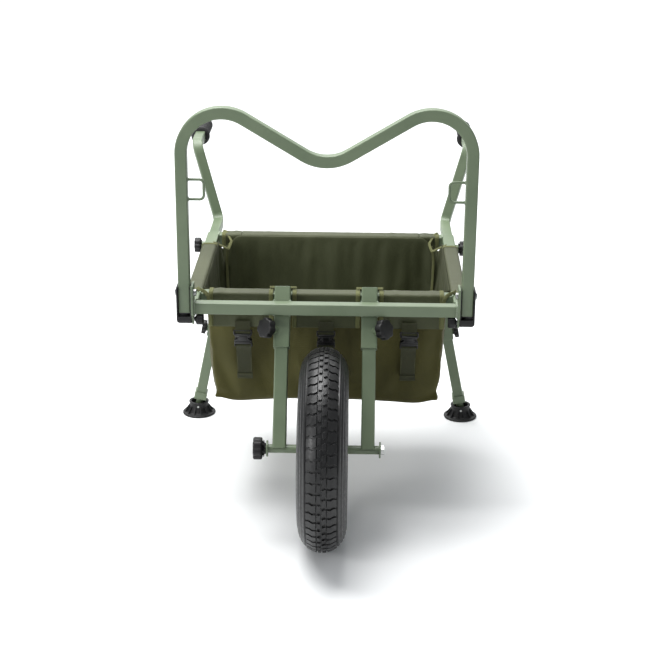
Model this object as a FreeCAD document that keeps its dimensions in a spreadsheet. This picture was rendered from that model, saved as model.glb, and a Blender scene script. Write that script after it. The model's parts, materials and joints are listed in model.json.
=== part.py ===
"""One-wheeled game cart: welded frame with a fabric bag, front hoop, sliding fork with a
pneumatic wheel, telescopic handles and two splayed rear legs.

Millimetres. +Z up, +Y from the wheel to the grips, +X to the right seen from the wheel.
The origin lies on the ground under the middle of the overall box.
"""
import FreeCAD, Part
import math
import os
import re

import Sketcher

Vector = FreeCAD.Vector
Placement = FreeCAD.Placement
Rotation = FreeCAD.Rotation
ALONG_X = Vector(1, 0, 0)
ALONG_Y = Vector(0, 1, 0)
ALONG_Z = Vector(0, 0, 1)
SIDES = (("left", -1), ("right", 1))
FORMULA_FUNCTIONS = ("sin", "cos", "tan", "sqrt")

doc = FreeCAD.newDocument("game_cart")

# ---------------------------------------------------------------- driving dimensions

DIMENSIONS = (
    ("tube_corner", 2.5, "outside corner radius of every square tube"),
    ("slip_gap", 0.4, "gap between pieces that pass each other"),
    ("bolt_radius", 4, "M8 bolts and studs"),
    ("bolt_hole_radius", 4.08, "running hole for the M8 bolts"),
    ("rail_width", 25, "side, front and rear rails, square"),
    ("rail_wall", 1.5, "wall of the rails"),
    ("rail_offset", 252, "centre of a side rail from the middle"),
    ("rail_height", 428, "centre of the rails above the ground"),
    ("rail_front", 241, "front end of the side rails, forward of the origin"),
    ("rail_length", 446, "side rail"),
    ("front_rail_forward", 194, "centre of the front rail, forward of the origin"),
    ("rear_rail_back", 196, "centre of the rear rail, behind the origin"),
    ("crossbar_width", 22, "front crossbar, square"),
    ("crossbar_forward", 252, "centre of the crossbar, forward of the origin"),
    ("crossbar_half", 246, "half the length of the crossbar"),
    ("plate_thickness", 4, "hinge plate"),
    ("plate_front", 275, "front edge of the hinge plate"),
    ("plate_back", 241, "rear edge of the hinge plate"),
    ("plate_tip", 258, "lower tip of the hinge plate, forward of the origin"),
    ("plate_top", 475, "top edge of the hinge plate"),
    ("plate_shoulder", 424, "where the plate's edges start to taper"),
    ("plate_bottom", 396, "lower tip of the hinge plate"),
    ("hoop_width", 22, "hoop tube, square"),
    ("hoop_wall", 1.5, "wall of the hoop tube"),
    ("hoop_offset", 263.2, "centre of a hoop leg from the middle"),
    ("hoop_forward", 256, "plane of the hoop, forward of the origin"),
    ("hoop_foot", 420, "lower end of the hoop legs"),
    ("hoop_top", 809, "highest point of the hoop"),
    ("hoop_corner_bend", 75, "centreline radius of the upper corners"),
    ("hoop_valley_bend", 80, "centreline radius of the bend in the middle"),
    ("hoop_valley", 700, "underside of the bend in the middle"),
    ("pivot_height", 458, "hoop pivot above the ground"),
    ("plug_flange", 1.6, "flange of the plastic plug in a hoop leg"),
    ("plug_length", 16, "part of the plug inside the tube"),
    ("channel_inner_wall", 1.8, "hinge channel, wall beside the plate"),
    ("channel_outer_wall", 2.8, "hinge channel, outboard wall"),
    ("channel_slot", 22.8, "hinge channel, width of the slot"),
    ("channel_depth", 32, "hinge channel, front to back"),
    ("channel_bottom", 400, "underside of the hinge channel"),
    ("channel_floor", 15, "thickness of the hinge channel's floor"),
    ("channel_height", 72, "hinge channel, overall"),
    ("channel_round", 9, "radius of the channel's lower edges"),
    ("loop_wire", 2.5, "radius of the cargo loop wire"),
    ("loop_reach", 29, "cargo loop, from the hoop leg to the wire's centre"),
    ("loop_low", 637.5, "cargo loop, lower wire"),
    ("loop_high", 674.5, "cargo loop, upper wire"),
    ("loop_bend", 8, "cargo loop, bend radius"),
    ("axle_forward", 361, "wheel axle, forward of the origin"),
    ("axle_height", 190, "wheel axle above the ground"),
    ("fork_offset", 82, "centre of a fork leg from the middle"),
    ("fork_width", 25.2, "fork leg, square"),
    ("fork_wall", 1.8, "wall of the fork legs"),
    ("fork_length", 292, "fork leg from the axle to its upper end"),
    ("fork_lean", 30, "lean of the fork from vertical, degrees"),
    ("sleeve_width", 30, "fork sleeve, square"),
    ("sleeve_wall", 2, "wall of the fork sleeves"),
    ("sleeve_start", 189, "axle to the lower end of a fork sleeve"),
    ("sleeve_length", 116, "fork sleeve"),
    ("fork_clamp_at", 222, "axle to the fork clamp screws"),
    ("boss_radius", 8, "clamp bosses"),
    ("boss_top", 27, "fork clamp boss, from the sleeve's centreline"),
    ("bush_radius", 8, "axle bush tube on the fork"),
    ("bush_inner", 36.6, "inner end of an axle bush from the middle"),
    ("bush_outer", 103, "outer end of an axle bush from the middle"),
    ("axle_radius", 6, "axle bolt"),
    ("axle_hole_radius", 6.06, "running hole for the axle bolt"),
    ("washer_radius", 15, "axle washers"),
    ("washer_thickness", 3, "axle washers"),
    ("bolt_head_radius", 9.5, "axle bolt head, across corners"),
    ("bolt_head_height", 6.5, "axle bolt head"),
    ("tyre_centre_radius", 145, "centre of the tyre's section from the axle"),
    ("tyre_section_radius", 45, "outside of the tyre's section"),
    ("tyre_inner_radius", 38, "inside of the tyre's section"),
    ("bead_radius", 108, "tyre bead from the axle"),
    ("inner_tube_radius", 37, "outside of the inner tube's section"),
    ("inner_tube_wall", 2, "wall of the inner tube"),
    ("rim_seat_radius", 107.6, "bead seat of the rim"),
    ("rim_seat_wall", 3, "thickness of the bead seat"),
    ("rim_flange_radius", 113, "edge of the rim"),
    ("rim_half_width", 34.5, "half the width of the rim"),
    ("rim_flange_width", 2.4, "thickness of the rim flange"),
    ("rim_web", 3, "thickness of a rim half's disc"),
    ("rim_bolt_circle", 62, "rim bolts from the axle"),
    ("rim_bolt_radius", 3, "rim bolts"),
    ("rim_bolt_count", 4, "rim bolts"),
    ("bearing_radius", 16, "outside of a wheel bearing"),
    ("bearing_width", 10, "wheel bearing"),
    ("bearing_outer", 36, "outer face of a bearing from the middle"),
    ("cup_wall", 2.5, "wall of the bearing cups"),
    ("spacer_radius", 8.5, "spacer tube between the bearings"),
    ("valve_radius", 3.9, "valve stem"),
    ("valve_offset", 8.2, "valve stem from the wheel's middle plane"),
    ("valve_reach", 28, "valve stem, inward from the bead seat"),
    ("handle_width", 21.2, "handle tube, square"),
    ("handle_wall", 1.5, "wall of the handle tubes"),
    ("handle_inner", 40, "inner end of a handle tube, behind the origin"),
    ("handle_bend_at", 336, "lower bend of a handle, behind the origin"),
    ("handle_top_bend_at", 350, "upper bend of a handle, behind the origin"),
    ("handle_rise", 178, "length of the handle's rise, seen from behind"),
    ("handle_lean", 15.6, "outward lean of the handle's rise, degrees"),
    ("handle_end", 543, "rear end of a handle tube"),
    ("handle_bend", 22, "centreline radius of the handle bends"),
    ("handle_clamp_at", 147, "handle clamp screw, behind the origin"),
    ("handle_boss_height", 7.5, "handle clamp boss"),
    ("grip_front", 430, "front face of a grip's flange"),
    ("grip_end", 551, "rear end of a grip"),
    ("grip_radius", 17, "grip"),
    ("grip_flange_radius", 21, "grip flange"),
    ("grip_flange", 5, "thickness of the grip flange"),
    ("grip_hole", 21.6, "square hole in a grip"),
    ("foot_offset", 297, "centre of a foot from the middle"),
    ("foot_back", 246, "centre of a foot, behind the origin"),
    ("foot_pivot_height", 21, "foot pin above the ground"),
    ("foot_flange_radius", 37, "foot flange"),
    ("foot_flange", 4, "thickness of the foot flange"),
    ("foot_cone_radius", 27, "foot, foot of the cone"),
    ("foot_neck_radius", 21, "foot, neck"),
    ("foot_cone_height", 14, "foot, height of the cone"),
    ("foot_height", 30, "foot, overall"),
    ("foot_hollow_radius", 16.8, "foot, hollow for the leg"),
    ("foot_hollow_floor", 9, "foot, floor of the hollow above the ground"),
    ("pin_radius", 2.5, "foot pin"),
    ("pin_hole_radius", 2.56, "running hole for the foot pin"),
    ("pin_length", 42, "foot pin"),
    ("leg_width", 22.2, "leg tube, square"),
    ("leg_wall", 1.5, "wall of the leg tubes"),
    ("leg_inward", 82, "how far a leg leans inwards over its height"),
    ("leg_forward", 22, "how far a leg leans forwards over its height"),
    ("leg_height", 394, "height over which the leans are given"),
    ("leg_start", 34, "foot pin to the lower end of the leg tube"),
    ("leg_length", 360, "leg tube"),
    ("lug_radius", 8, "round lug at the lower end of a leg"),
    ("lug_below", 7, "lug below the foot pin"),
    ("collar_start", 17.5, "foot pin to the leg's end bracket"),
    ("collar_length", 16.5, "leg end bracket"),
    ("collar_width", 28, "leg end bracket"),
    ("leg_sleeve_width", 27, "leg sleeve, square"),
    ("leg_sleeve_start", 176, "foot pin to the lower end of a leg sleeve"),
    ("leg_sleeve_length", 239, "leg sleeve"),
    ("leg_clamp_at", 190, "foot pin to the leg clamp screw"),
    ("leg_boss_height", 2.5, "leg clamp boss"),
    ("bag_top", 443.5, "top edge of the bag"),
    ("bag_bottom", 200, "underside of the bag"),
    ("bag_half_width", 238.8, "half the bag's width at the top"),
    ("bag_front", 180.8, "bag's front wall at the top, forward of the origin"),
    ("bag_back", 182.8, "bag's rear wall at the top"),
    ("bag_base_half_width", 222, "half the bag's width at the bottom"),
    ("bag_base_front", 150, "bag's front wall at the bottom"),
    ("bag_base_back", 160, "bag's rear wall at the bottom"),
    ("fabric", 2, "thickness of the bag's walls and wraps"),
    ("wrap_gap", 0.7, "gap between a rail and the fabric round it"),
    ("flap_bottom", 374, "lower edge of the bag's front flap"),
    ("side_flap_bottom", 408, "lower edge of the wraps at sides and back"),
    ("side_wrap_front", 196, "front end of a side wrap"),
    ("side_wrap_back", 112, "rear end of a side wrap"),
    ("rear_wrap_half", 192, "half the width of the rear wrap"),
    ("front_wrap_half", 224, "half the width of the front wrap"),
    ("notch_inner", 60, "inner edge of the notches round the fork sleeves"),
    ("notch_outer", 105, "outer edge of the notches round the fork sleeves"),
    ("strap_width", 30, "webbing straps"),
    ("strap_thickness", 1.5, "webbing straps"),
    ("strap_offset", 159, "outer straps from the middle"),
    ("strap_face", 210.6, "back of the straps at the flap, forward of the origin"),
    ("strap_pitch", 22, "slope of the straps from vertical, degrees"),
    ("socket_start", 4, "flap edge to the buckle socket"),
    ("socket_length", 26, "buckle socket"),
    ("buckle_width", 36, "buckle"),
    ("buckle_thickness", 9, "buckle"),
    ("prong_depth", 16, "how far the plug's prongs reach into the socket"),
    ("prong_room", 2, "spare depth behind the prongs"),
    ("socket_wall", 2, "wall of the buckle socket"),
    ("strap_overlap", 14, "flap strap, from its end to the flap's edge and into the socket"),
    ("plug_body", 15, "buckle plug outside the socket"),
    ("lower_strap_length", 88, "lower strap from the plug to its stitched end"),
    ("knob_lobes", 7, "hollows round a star knob"),
    ("lobe_hollow", 0.26, "radius of a hollow over the knob's radius"),
    ("axle_knob_radius", 21, "star knob on the axle"),
    ("axle_knob_thickness", 17, "star knob on the axle"),
    ("axle_knob_neck", 7, "neck of the axle knob"),
    ("axle_collar_radius", 10, "neck of the axle knob"),
    ("axle_thread", 12, "end of the axle bolt that the knob screws onto"),
    ("fork_knob_radius", 19.5, "star knobs on the fork sleeves"),
    ("fork_knob_thickness", 15, "star knobs on the fork sleeves"),
    ("handle_knob_radius", 16, "star knobs on the side rails"),
    ("handle_knob_thickness", 13, "star knobs on the side rails"),
    ("leg_knob_radius", 16, "star knobs on the leg sleeves"),
    ("leg_knob_thickness", 9.5, "star knobs on the leg sleeves"),
    ("lock_knob_radius", 11, "lock knobs at the hinge plates"),
    ("lock_knob_thickness", 14, "lock knobs at the hinge plates"),
    ("lock_height", 406, "lock screws above the ground"),
    ("lock_forward", 256, "lock screws, forward of the origin"),
    ("stem_radius", 7, "neck of a star knob"),
)

sheet = doc.addObject("Spreadsheet::Sheet", "Sizes")
for row, (alias, number, meaning) in enumerate(DIMENSIONS, start=1):
    sheet.set(f"A{row}", meaning)
    sheet.set(f"B{row}", str(number))
    sheet.setAlias(f"B{row}", alias)
doc.recompute()


def size(alias):
    """The number in a cell of the sheet."""
    return float(getattr(sheet, alias))


def formula(text):
    """A formula of aliases, each with the sheet's name before it."""
    def named(match):
        word = match.group(0)
        return word if word in FORMULA_FUNCTIONS else "Sizes." + word
    return re.sub(r"[a-z][a-z_]{2,}", named, text)


def bind(item, **formulas):
    """Bind properties of an object to formulas of the sheet."""
    for name, text in formulas.items():
        item.setExpression(name, formula(text))
    return item


# ---------------------------------------------------------------- ways of making a piece

def aimed(start, direction):
    """A placement whose Z axis points along direction."""
    return Placement(Vector(*start), Rotation(ALONG_Z, Vector(*direction)))


def box(label, width, depth, height, x=0.0, y=0.0, z=0.0):
    """A box centred on x and y, standing on z."""
    item = bind(doc.addObject("Part::Box", label), Length=width, Width=depth, Height=height)
    doc.recompute([item])
    item.Placement.Base = Vector(x - item.Length.Value / 2, y - item.Width.Value / 2, z)
    return item


def corner_box(label, low, high):
    """A box between two corners."""
    item = doc.addObject("Part::Box", label)
    low, high = Vector(*low), Vector(*high)
    item.Length, item.Width, item.Height = high - low
    item.Placement.Base = low
    return item


def cylinder(label, radius, length, start=(0, 0, 0), direction=(0, 0, 1)):
    """A round bar that starts at a point and runs along a direction."""
    item = bind(doc.addObject("Part::Cylinder", label), Radius=radius, Height=length)
    item.Placement = aimed(start, direction)
    return item


def fused(label, *items):
    """One solid of several."""
    result = doc.addObject("Part::MultiFuse", label)
    result.Shapes = list(items)
    result.Refine = True
    return result


def cut(label, base, *tools):
    """The base with the tools taken away."""
    result = doc.addObject("Part::Cut", label)
    result.Base = base
    result.Tool = tools[0] if len(tools) == 1 else fused(label + "_tools", *tools)
    return result


def group(label, *items):
    """Identical pieces kept together as separate solids."""
    result = doc.addObject("Part::Compound", label)
    result.Links = list(items)
    return result


def new_body(label):
    """A PartDesign body."""
    return doc.addObject("PartDesign::Body", label)


def new_sketch(body, role="XY_Plane", lift=None):
    """A sketch on one of the body's own origin planes, lifted off it by a formula."""
    plane = next(item for item in body.Origin.OriginFeatures if item.Role == role)
    sketch = body.newObject("Sketcher::SketchObject", body.Name + "_sketch")
    sketch.AttachmentSupport = (plane, [""])
    sketch.MapMode = "FlatFace"
    if lift:
        sketch.setExpression(".AttachmentOffset.Base.z", formula(lift))
    return sketch


def drive(sketch, text, *constraint):
    """Add a sketch dimension that follows a formula."""
    index = sketch.addConstraint(Sketcher.Constraint(*constraint))
    sketch.setExpression(f"Constraints[{index}]", formula(text))


def add_square(sketch, width):
    """A square centred on the sketch's origin."""
    first = sketch.GeometryCount
    corners = [Vector(-9, -9), Vector(9, -9), Vector(9, 9), Vector(-9, 9)]
    for here, there in zip(corners, corners[1:] + corners[:1]):
        sketch.addGeometry(Part.LineSegment(here, there), False)
    for side in range(4):
        following = first + (side + 1) % 4
        sketch.addConstraint(Sketcher.Constraint("Coincident", first + side, 2, following, 1))
        level = "Horizontal" if side % 2 == 0 else "Vertical"
        sketch.addConstraint(Sketcher.Constraint(level, first + side))
    sketch.addConstraint(Sketcher.Constraint("Symmetric", first, 1, first + 1, 2, -1, 1))
    drive(sketch, width, "DistanceX", first, 1, first, 2, 18.0)
    drive(sketch, width, "DistanceY", first + 1, 1, first + 1, 2, 18.0)


def add_rounded_square(sketch, width, corner):
    """A square centred on the sketch's origin, its corners rounded by tangent arcs."""
    reach, flat = 9.0, 7.0
    slant = flat + (reach - flat) * math.sqrt(0.5)
    lines, arcs = [], []
    for quarter in range(4):
        turn = Rotation(ALONG_Z, 90 * quarter)
        points = [turn.multVec(Vector(x, y)) for x, y in
                  ((reach, -flat), (reach, flat), (slant, slant), (flat, reach))]
        lines.append(sketch.addGeometry(Part.LineSegment(*points[:2]), False))
        arcs.append((sketch.addGeometry(Part.Arc(*points[1:]), False), points[1]))
    for index, (arc, start) in enumerate(arcs):
        begins = arc_start(sketch, arc, start)
        following = lines[(index + 1) % 4]
        sketch.addConstraint(Sketcher.Constraint("Tangent", lines[index], 2, arc, begins))
        sketch.addConstraint(Sketcher.Constraint("Tangent", following, 1, arc, 3 - begins))
        level = "Vertical" if index % 2 == 0 else "Horizontal"
        sketch.addConstraint(Sketcher.Constraint(level, lines[index]))
        drive(sketch, corner, "Radius", arc, reach - flat)
    sketch.addConstraint(Sketcher.Constraint("Symmetric", arcs[0][0], 3, arcs[2][0], 3, -1, 1))
    drive(sketch, width, "DistanceX", lines[2], 1, lines[0], 1, 2 * reach)
    drive(sketch, width, "DistanceY", lines[3], 1, lines[1], 1, 2 * reach)


def add_circle(sketch, radius, out=None):
    """A circle on the sketch's origin, or moved out along its X axis."""
    start = Vector(10, 0, 0) if out else Vector()
    index = sketch.addGeometry(Part.Circle(start, ALONG_Z, 3.0), False)
    if out:
        sketch.addConstraint(Sketcher.Constraint("PointOnObject", index, 3, -1))
        drive(sketch, out, "DistanceX", -1, 1, index, 3, 10.0)
    else:
        sketch.addConstraint(Sketcher.Constraint("Coincident", index, 3, -1, 1))
    drive(sketch, radius, "Radius", index, 3.0)


def add_polygon(sketch, corners):
    """A closed outline whose corners lie at distances held in the sheet."""
    def number(name):
        return -size(name[1:]) if name.startswith("-") else size(name)
    points = [Vector(number(across), number(up)) for across, up in corners]
    for here, there in zip(points, points[1:] + points[:1]):
        sketch.addGeometry(Part.LineSegment(here, there), False)
    for index, (across, up) in enumerate(corners):
        following = (index + 1) % len(corners)
        sketch.addConstraint(Sketcher.Constraint("Coincident", index, 2, following, 1))
        drive(sketch, across, "DistanceX", -1, 1, index, 1, points[index].x)
        drive(sketch, up, "DistanceY", -1, 1, index, 1, points[index].y)


def add_path(sketch, corners, bends):
    """Straight runs through the corners, joined by tangent arcs of the given radii."""
    start = corners[0]
    for before, corner, after, bend in zip(corners, corners[1:], corners[2:], bends):
        arriving = (corner - before).normalize()
        leaving = (after - corner).normalize()
        turn = arriving.getAngle(leaving)
        radius = size(bend)
        reach = radius * math.tan(turn / 2)
        enter, leave = corner - arriving * reach, corner + leaving * reach
        middle = corner + (leaving - arriving).normalize() * radius * (1 / math.cos(turn / 2) - 1)
        sketch.addGeometry(Part.LineSegment(start, enter), False)
        arc = sketch.addGeometry(Part.Arc(enter, middle, leave), False)
        sketch.addConstraint(Sketcher.Constraint("Tangent", arc - 1, 2, arc, arc_start(sketch, arc, enter)))
        drive(sketch, bend, "Radius", arc, radius)
        start = leave
    sketch.addGeometry(Part.LineSegment(start, corners[-1]), False)


def arc_start(sketch, arc, point):
    """Which end of an arc lies at a point: 1 for its start, 2 for its end."""
    return 1 if sketch.getPoint(arc, 1).distanceToPoint(point) < 0.001 else 2


def add_pad(body, sketch, length):
    """Pad a sketch along its normal."""
    pad = body.newObject("PartDesign::Pad", body.Name + "_pad")
    pad.Profile = sketch
    return bind(pad, Length=length)


def square_tube(label, width, wall, length, placement, hollow=True):
    """A square tube along its own Z axis, with rounded outside corners."""
    body = new_body(label)
    sketch = new_sketch(body)
    add_square(sketch, width)
    if hollow:
        add_square(sketch, f"{width} - 2 * {wall}")
    pad = add_pad(body, sketch, length)
    doc.recompute()
    reach = (size(width) - size(wall)) / math.sqrt(2)
    corners = []
    for index, edge in enumerate(pad.Shape.Edges, start=1):
        middle = edge.CenterOfMass
        upright = abs(edge.tangentAt(edge.FirstParameter).z) > 0.99
        if upright and math.hypot(middle.x, middle.y) > reach:
            corners.append(f"Edge{index}")
    fillet = body.newObject("PartDesign::Fillet", label + "_corners")
    fillet.Base = (pad, corners)
    bind(fillet, Radius="tube_corner")
    body.Tip = fillet
    body.Placement = placement
    return body


def bent_square_tube(label, plane, corners, bends, width, wall, placement, twist=0.0):
    """A square tube swept along a bent path in one plane, its section turned by twist."""
    body = new_body(label)
    spine = new_sketch(body, plane)
    add_path(spine, corners, bends)
    section = body.newObject("Sketcher::SketchObject", label + "_section")
    first = corners[0]
    start = {"XZ_Plane": Vector(first.x, 0, first.y), "YZ_Plane": Vector(0, first.x, first.y)}
    turned = {"XZ_Plane": Rotation(), "YZ_Plane": Rotation(ALONG_X, ALONG_Z, -ALONG_Y, "ZXY")}
    section.Placement = Placement(start[plane], turned[plane] * Rotation(ALONG_Z, twist))
    add_rounded_square(section, width, "tube_corner")
    add_square(section, f"{width} - 2 * {wall}")
    pipe = body.newObject("PartDesign::AdditivePipe", label + "_pipe")
    pipe.Profile = section
    pipe.Spine = spine
    body.Tip = pipe
    body.Placement = placement
    return body


def star_knob(label, radius, thickness, neck, stud, placement):
    """A star knob with a moulded-in stud. Z points outwards, and zero is the seat."""
    body = new_body(label)
    sketch = new_sketch(body, lift=f"0 - {stud}")
    add_circle(sketch, "bolt_radius")
    add_pad(body, sketch, f"{stud} + {neck}")
    sketch = new_sketch(body)
    add_circle(sketch, "stem_radius")
    add_pad(body, sketch, f"{neck} + {thickness} / 2")
    sketch = new_sketch(body, lift=neck)
    add_circle(sketch, radius)
    head = add_pad(body, sketch, thickness)
    sketch = new_sketch(body, lift=f"{neck} + {thickness}")
    add_circle(sketch, f"{radius} * lobe_hollow", out=f"{radius} * 1.05")
    hollow = body.newObject("PartDesign::Pocket", label + "_hollow")
    hollow.Profile = sketch
    bind(hollow, Length=thickness)
    doc.recompute()
    if hollow.Shape.Volume > head.Shape.Volume - 1:
        raise RuntimeError(label + ": the hollow cuts nothing")
    lobes = body.newObject("PartDesign::PolarPattern", label + "_lobes")
    lobes.Originals = [hollow]
    lobes.Axis = (sketch, ["N_Axis"])
    lobes.Angle = 360
    bind(lobes, Occurrences="knob_lobes")
    body.Tip = lobes
    body.Placement = placement
    return body


# ---------------------------------------------------------------- frames of reference

def fork_frame(x):
    """Z runs up along the fork from the axle, and -Y faces the front."""
    base = Vector(x, -size("axle_forward"), size("axle_height"))
    return Placement(base, Rotation(ALONG_X, -size("fork_lean")))


def foot_pivot(sign):
    """Centre of a foot pin."""
    return Vector(sign * size("foot_offset"), size("foot_back"), size("foot_pivot_height"))


def leg_frame(sign):
    """Z runs up along a leg from its foot pin, and X points outboard."""
    up = Vector(-sign * size("leg_inward"), -size("leg_forward"), size("leg_height"))
    return Placement(foot_pivot(sign), Rotation(Vector(sign, 0, 0), Vector(), up, "ZXY"))


def within(frame, x=0.0, y=0.0, z=0.0, rotation=Rotation()):
    """A placement given in a frame of reference."""
    return frame.multiply(Placement(Vector(x, y, z), rotation))


def line_of(placement):
    """Start point and Z direction of a placement."""
    return placement.Base, placement.Rotation.multVec(ALONG_Z)


# ---------------------------------------------------------------- welded frame

TURN_TO_Y = Rotation(ALONG_X, -90)
TURN_TO_X = Rotation(ALONG_Y, 90)
CORNER_LEFT = Rotation(ALONG_Z, Vector(-1, -1, 0))
CORNER_RIGHT = Rotation(ALONG_Z, Vector(1, -1, 0))


def fork_clamp_frame(sign):
    """Z runs out along the fork clamp screw, through the sleeve's front outer corner."""
    corner = CORNER_LEFT if sign < 0 else CORNER_RIGHT
    return within(fork_frame(sign * size("fork_offset")), z=size("fork_clamp_at"), rotation=corner)


def handle_clamp_frame(sign):
    """Z runs outboard along the handle clamp screw from the rail's centre."""
    base = Vector(sign * size("rail_offset"), size("handle_clamp_at"), size("rail_height"))
    return Placement(base, Rotation(ALONG_Z, Vector(sign, 0, 0)))


def leg_clamp_frame(sign):
    """Z runs outboard along the leg clamp screw from the leg's centre."""
    return within(leg_frame(sign), z=size("leg_clamp_at"), rotation=Rotation(ALONG_Z, ALONG_X))


def make_side_rails():
    """Two rails whose rear ends take the handles."""
    for side, sign in SIDES:
        start = Vector(sign * size("rail_offset"), -size("rail_front"), size("rail_height"))
        blank = square_tube(f"side_rail_{side}_blank", "rail_width", "rail_wall", "rail_length",
                            Placement(start, TURN_TO_Y))
        hole = cylinder(f"side_rail_{side}_hole", "bolt_radius + 0.2", "rail_width",
                        *line_of(handle_clamp_frame(sign)))
        cut(f"side_rail_{side}", blank, hole)


def make_cross_rails():
    """Front rail, rear rail and crossbar; the first and last are notched for the fork sleeves."""
    inside = size("rail_offset") - size("rail_width") / 2
    envelopes = [
        fork_envelope(f"sleeve_envelope_{side}", sign) for side, sign in SIDES
    ]
    notch = fused("sleeve_envelopes", *envelopes)
    front = Vector(-inside, -size("front_rail_forward"), size("rail_height"))
    blank = square_tube("front_rail_blank", "rail_width", "rail_wall", "2 * rail_offset - rail_width",
                        Placement(front, TURN_TO_X))
    cut("front_rail", blank, notch)
    rear = Vector(-inside, size("rear_rail_back"), size("rail_height"))
    square_tube("rear_rail", "rail_width", "rail_wall", "2 * rail_offset - rail_width",
                Placement(rear, TURN_TO_X))
    bar = Vector(-size("crossbar_half"), -size("crossbar_forward"), size("rail_height"))
    blank = square_tube("front_crossbar_blank", "crossbar_width", "rail_wall", "2 * crossbar_half",
                        Placement(bar, TURN_TO_X))
    cut("front_crossbar", blank, notch)


def fork_envelope(label, sign):
    """The space that a fork sleeve fills, longer than the sleeve."""
    item = bind(doc.addObject("Part::Box", label), Length="sleeve_width", Width="sleeve_width",
                Height="sleeve_length + 40")
    half = size("sleeve_width") / 2
    item.Placement = within(fork_frame(sign * size("fork_offset")), -half, -half, size("sleeve_start") - 20)
    return item


def make_fork_sleeves():
    """Two sleeves that guide the fork, each with a screw hole through its front outer corner."""
    for side, sign in SIDES:
        frame = fork_frame(sign * size("fork_offset"))
        blank = square_tube(f"fork_sleeve_{side}_blank", "sleeve_width", "sleeve_wall", "sleeve_length",
                            within(frame, z=size("sleeve_start")))
        hole = cylinder(f"fork_sleeve_{side}_hole", "bolt_radius + 0.2", "boss_top + 5",
                        *line_of(fork_clamp_frame(sign)))
        cut(f"fork_sleeve_{side}", blank, hole)


def make_leg_sleeves():
    """Two sleeves welded behind the rear rail for the legs."""
    for side, sign in SIDES:
        frame = leg_frame(sign)
        blank = square_tube(f"leg_sleeve_{side}_blank", "leg_sleeve_width", "sleeve_wall",
                            "leg_sleeve_length", within(frame, z=size("leg_sleeve_start")))
        hole = cylinder(f"leg_sleeve_{side}_hole", "bolt_radius + 0.2", "leg_sleeve_width",
                        *line_of(leg_clamp_frame(sign)))
        cut(f"leg_sleeve_{side}", blank, hole)


def clamp_boss(label, frame, start, length):
    """A threaded boss on a clamp screw's line."""
    along = line_of(within(frame, z=size_of(start)))
    bar = cylinder(label + "_bar", "boss_radius", length, *along)
    hole = cylinder(label + "_bore", "bolt_hole_radius", length, *along)
    return cut(label, bar, hole)


def size_of(text):
    """The number that a sum of aliases and numbers, joined by plus signs, comes to."""
    total = 0.0
    for word in text.split("+"):
        factor = 0.5 if "/ 2" in word else 1.0
        total += factor * size(word.replace("/ 2", "").strip())
    return total


def make_clamp_bosses():
    """A boss for each clamp screw: two at the fork, two at the handles, two at the legs."""
    bosses = []
    for side, sign in SIDES:
        fork_boss = clamp_boss(f"fork_boss_{side}", fork_clamp_frame(sign), "sleeve_width / 2",
                               "boss_top - sleeve_width / 2")
        envelope = fork_envelope(f"boss_envelope_{side}", sign)
        bosses.append(cut(f"fork_boss_{side}_coped", fork_boss, envelope))
        bosses.append(clamp_boss(f"handle_boss_{side}", handle_clamp_frame(sign), "rail_width / 2",
                                 "handle_boss_height"))
        bosses.append(clamp_boss(f"leg_boss_{side}", leg_clamp_frame(sign), "leg_sleeve_width / 2",
                                 "leg_boss_height"))
    group("clamp_bosses", *bosses)


# ---------------------------------------------------------------- hoop hinge

def pivot_line(sign, start):
    """A line outboard along the hoop's pivot, from a distance off the middle."""
    return (sign * start, -size("hoop_forward"), size("pivot_height")), (sign, 0, 0)


def make_hinge_plates():
    """Steel plates on the crossbar's ends, tapering to a tip below."""
    plates = []
    outline = (("-plate_front", "plate_top"), ("-plate_back", "plate_top"),
               ("-plate_back", "plate_shoulder"), ("-plate_tip", "plate_bottom"),
               ("-plate_front", "plate_shoulder"))
    for side, sign in SIDES:
        body = new_body(f"hinge_plate_{side}_blank")
        sketch = new_sketch(body, "YZ_Plane")
        add_polygon(sketch, outline)
        add_pad(body, sketch, "plate_thickness")
        near = size("crossbar_half") if sign > 0 else -size("crossbar_half") - size("plate_thickness")
        body.Placement.Base = Vector(near, 0, 0)
        pivot = cylinder(f"plate_pivot_hole_{side}", "bolt_radius + 0.1", "40",
                         *pivot_line(sign, size("crossbar_half") - 10))
        lock = cylinder(f"plate_lock_hole_{side}", "bolt_hole_radius", "40", *lock_line(sign, -10))
        plates.append(cut(f"hinge_plate_{side}", body, pivot, lock))
    group("hinge_plates", *plates)


def lock_line(sign, outboard):
    """A line outboard along a lock screw, from a distance off the plate's inner face."""
    start = (sign * (size("crossbar_half") + outboard), -size("lock_forward"), size("lock_height"))
    return start, (sign, 0, 0)


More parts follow.
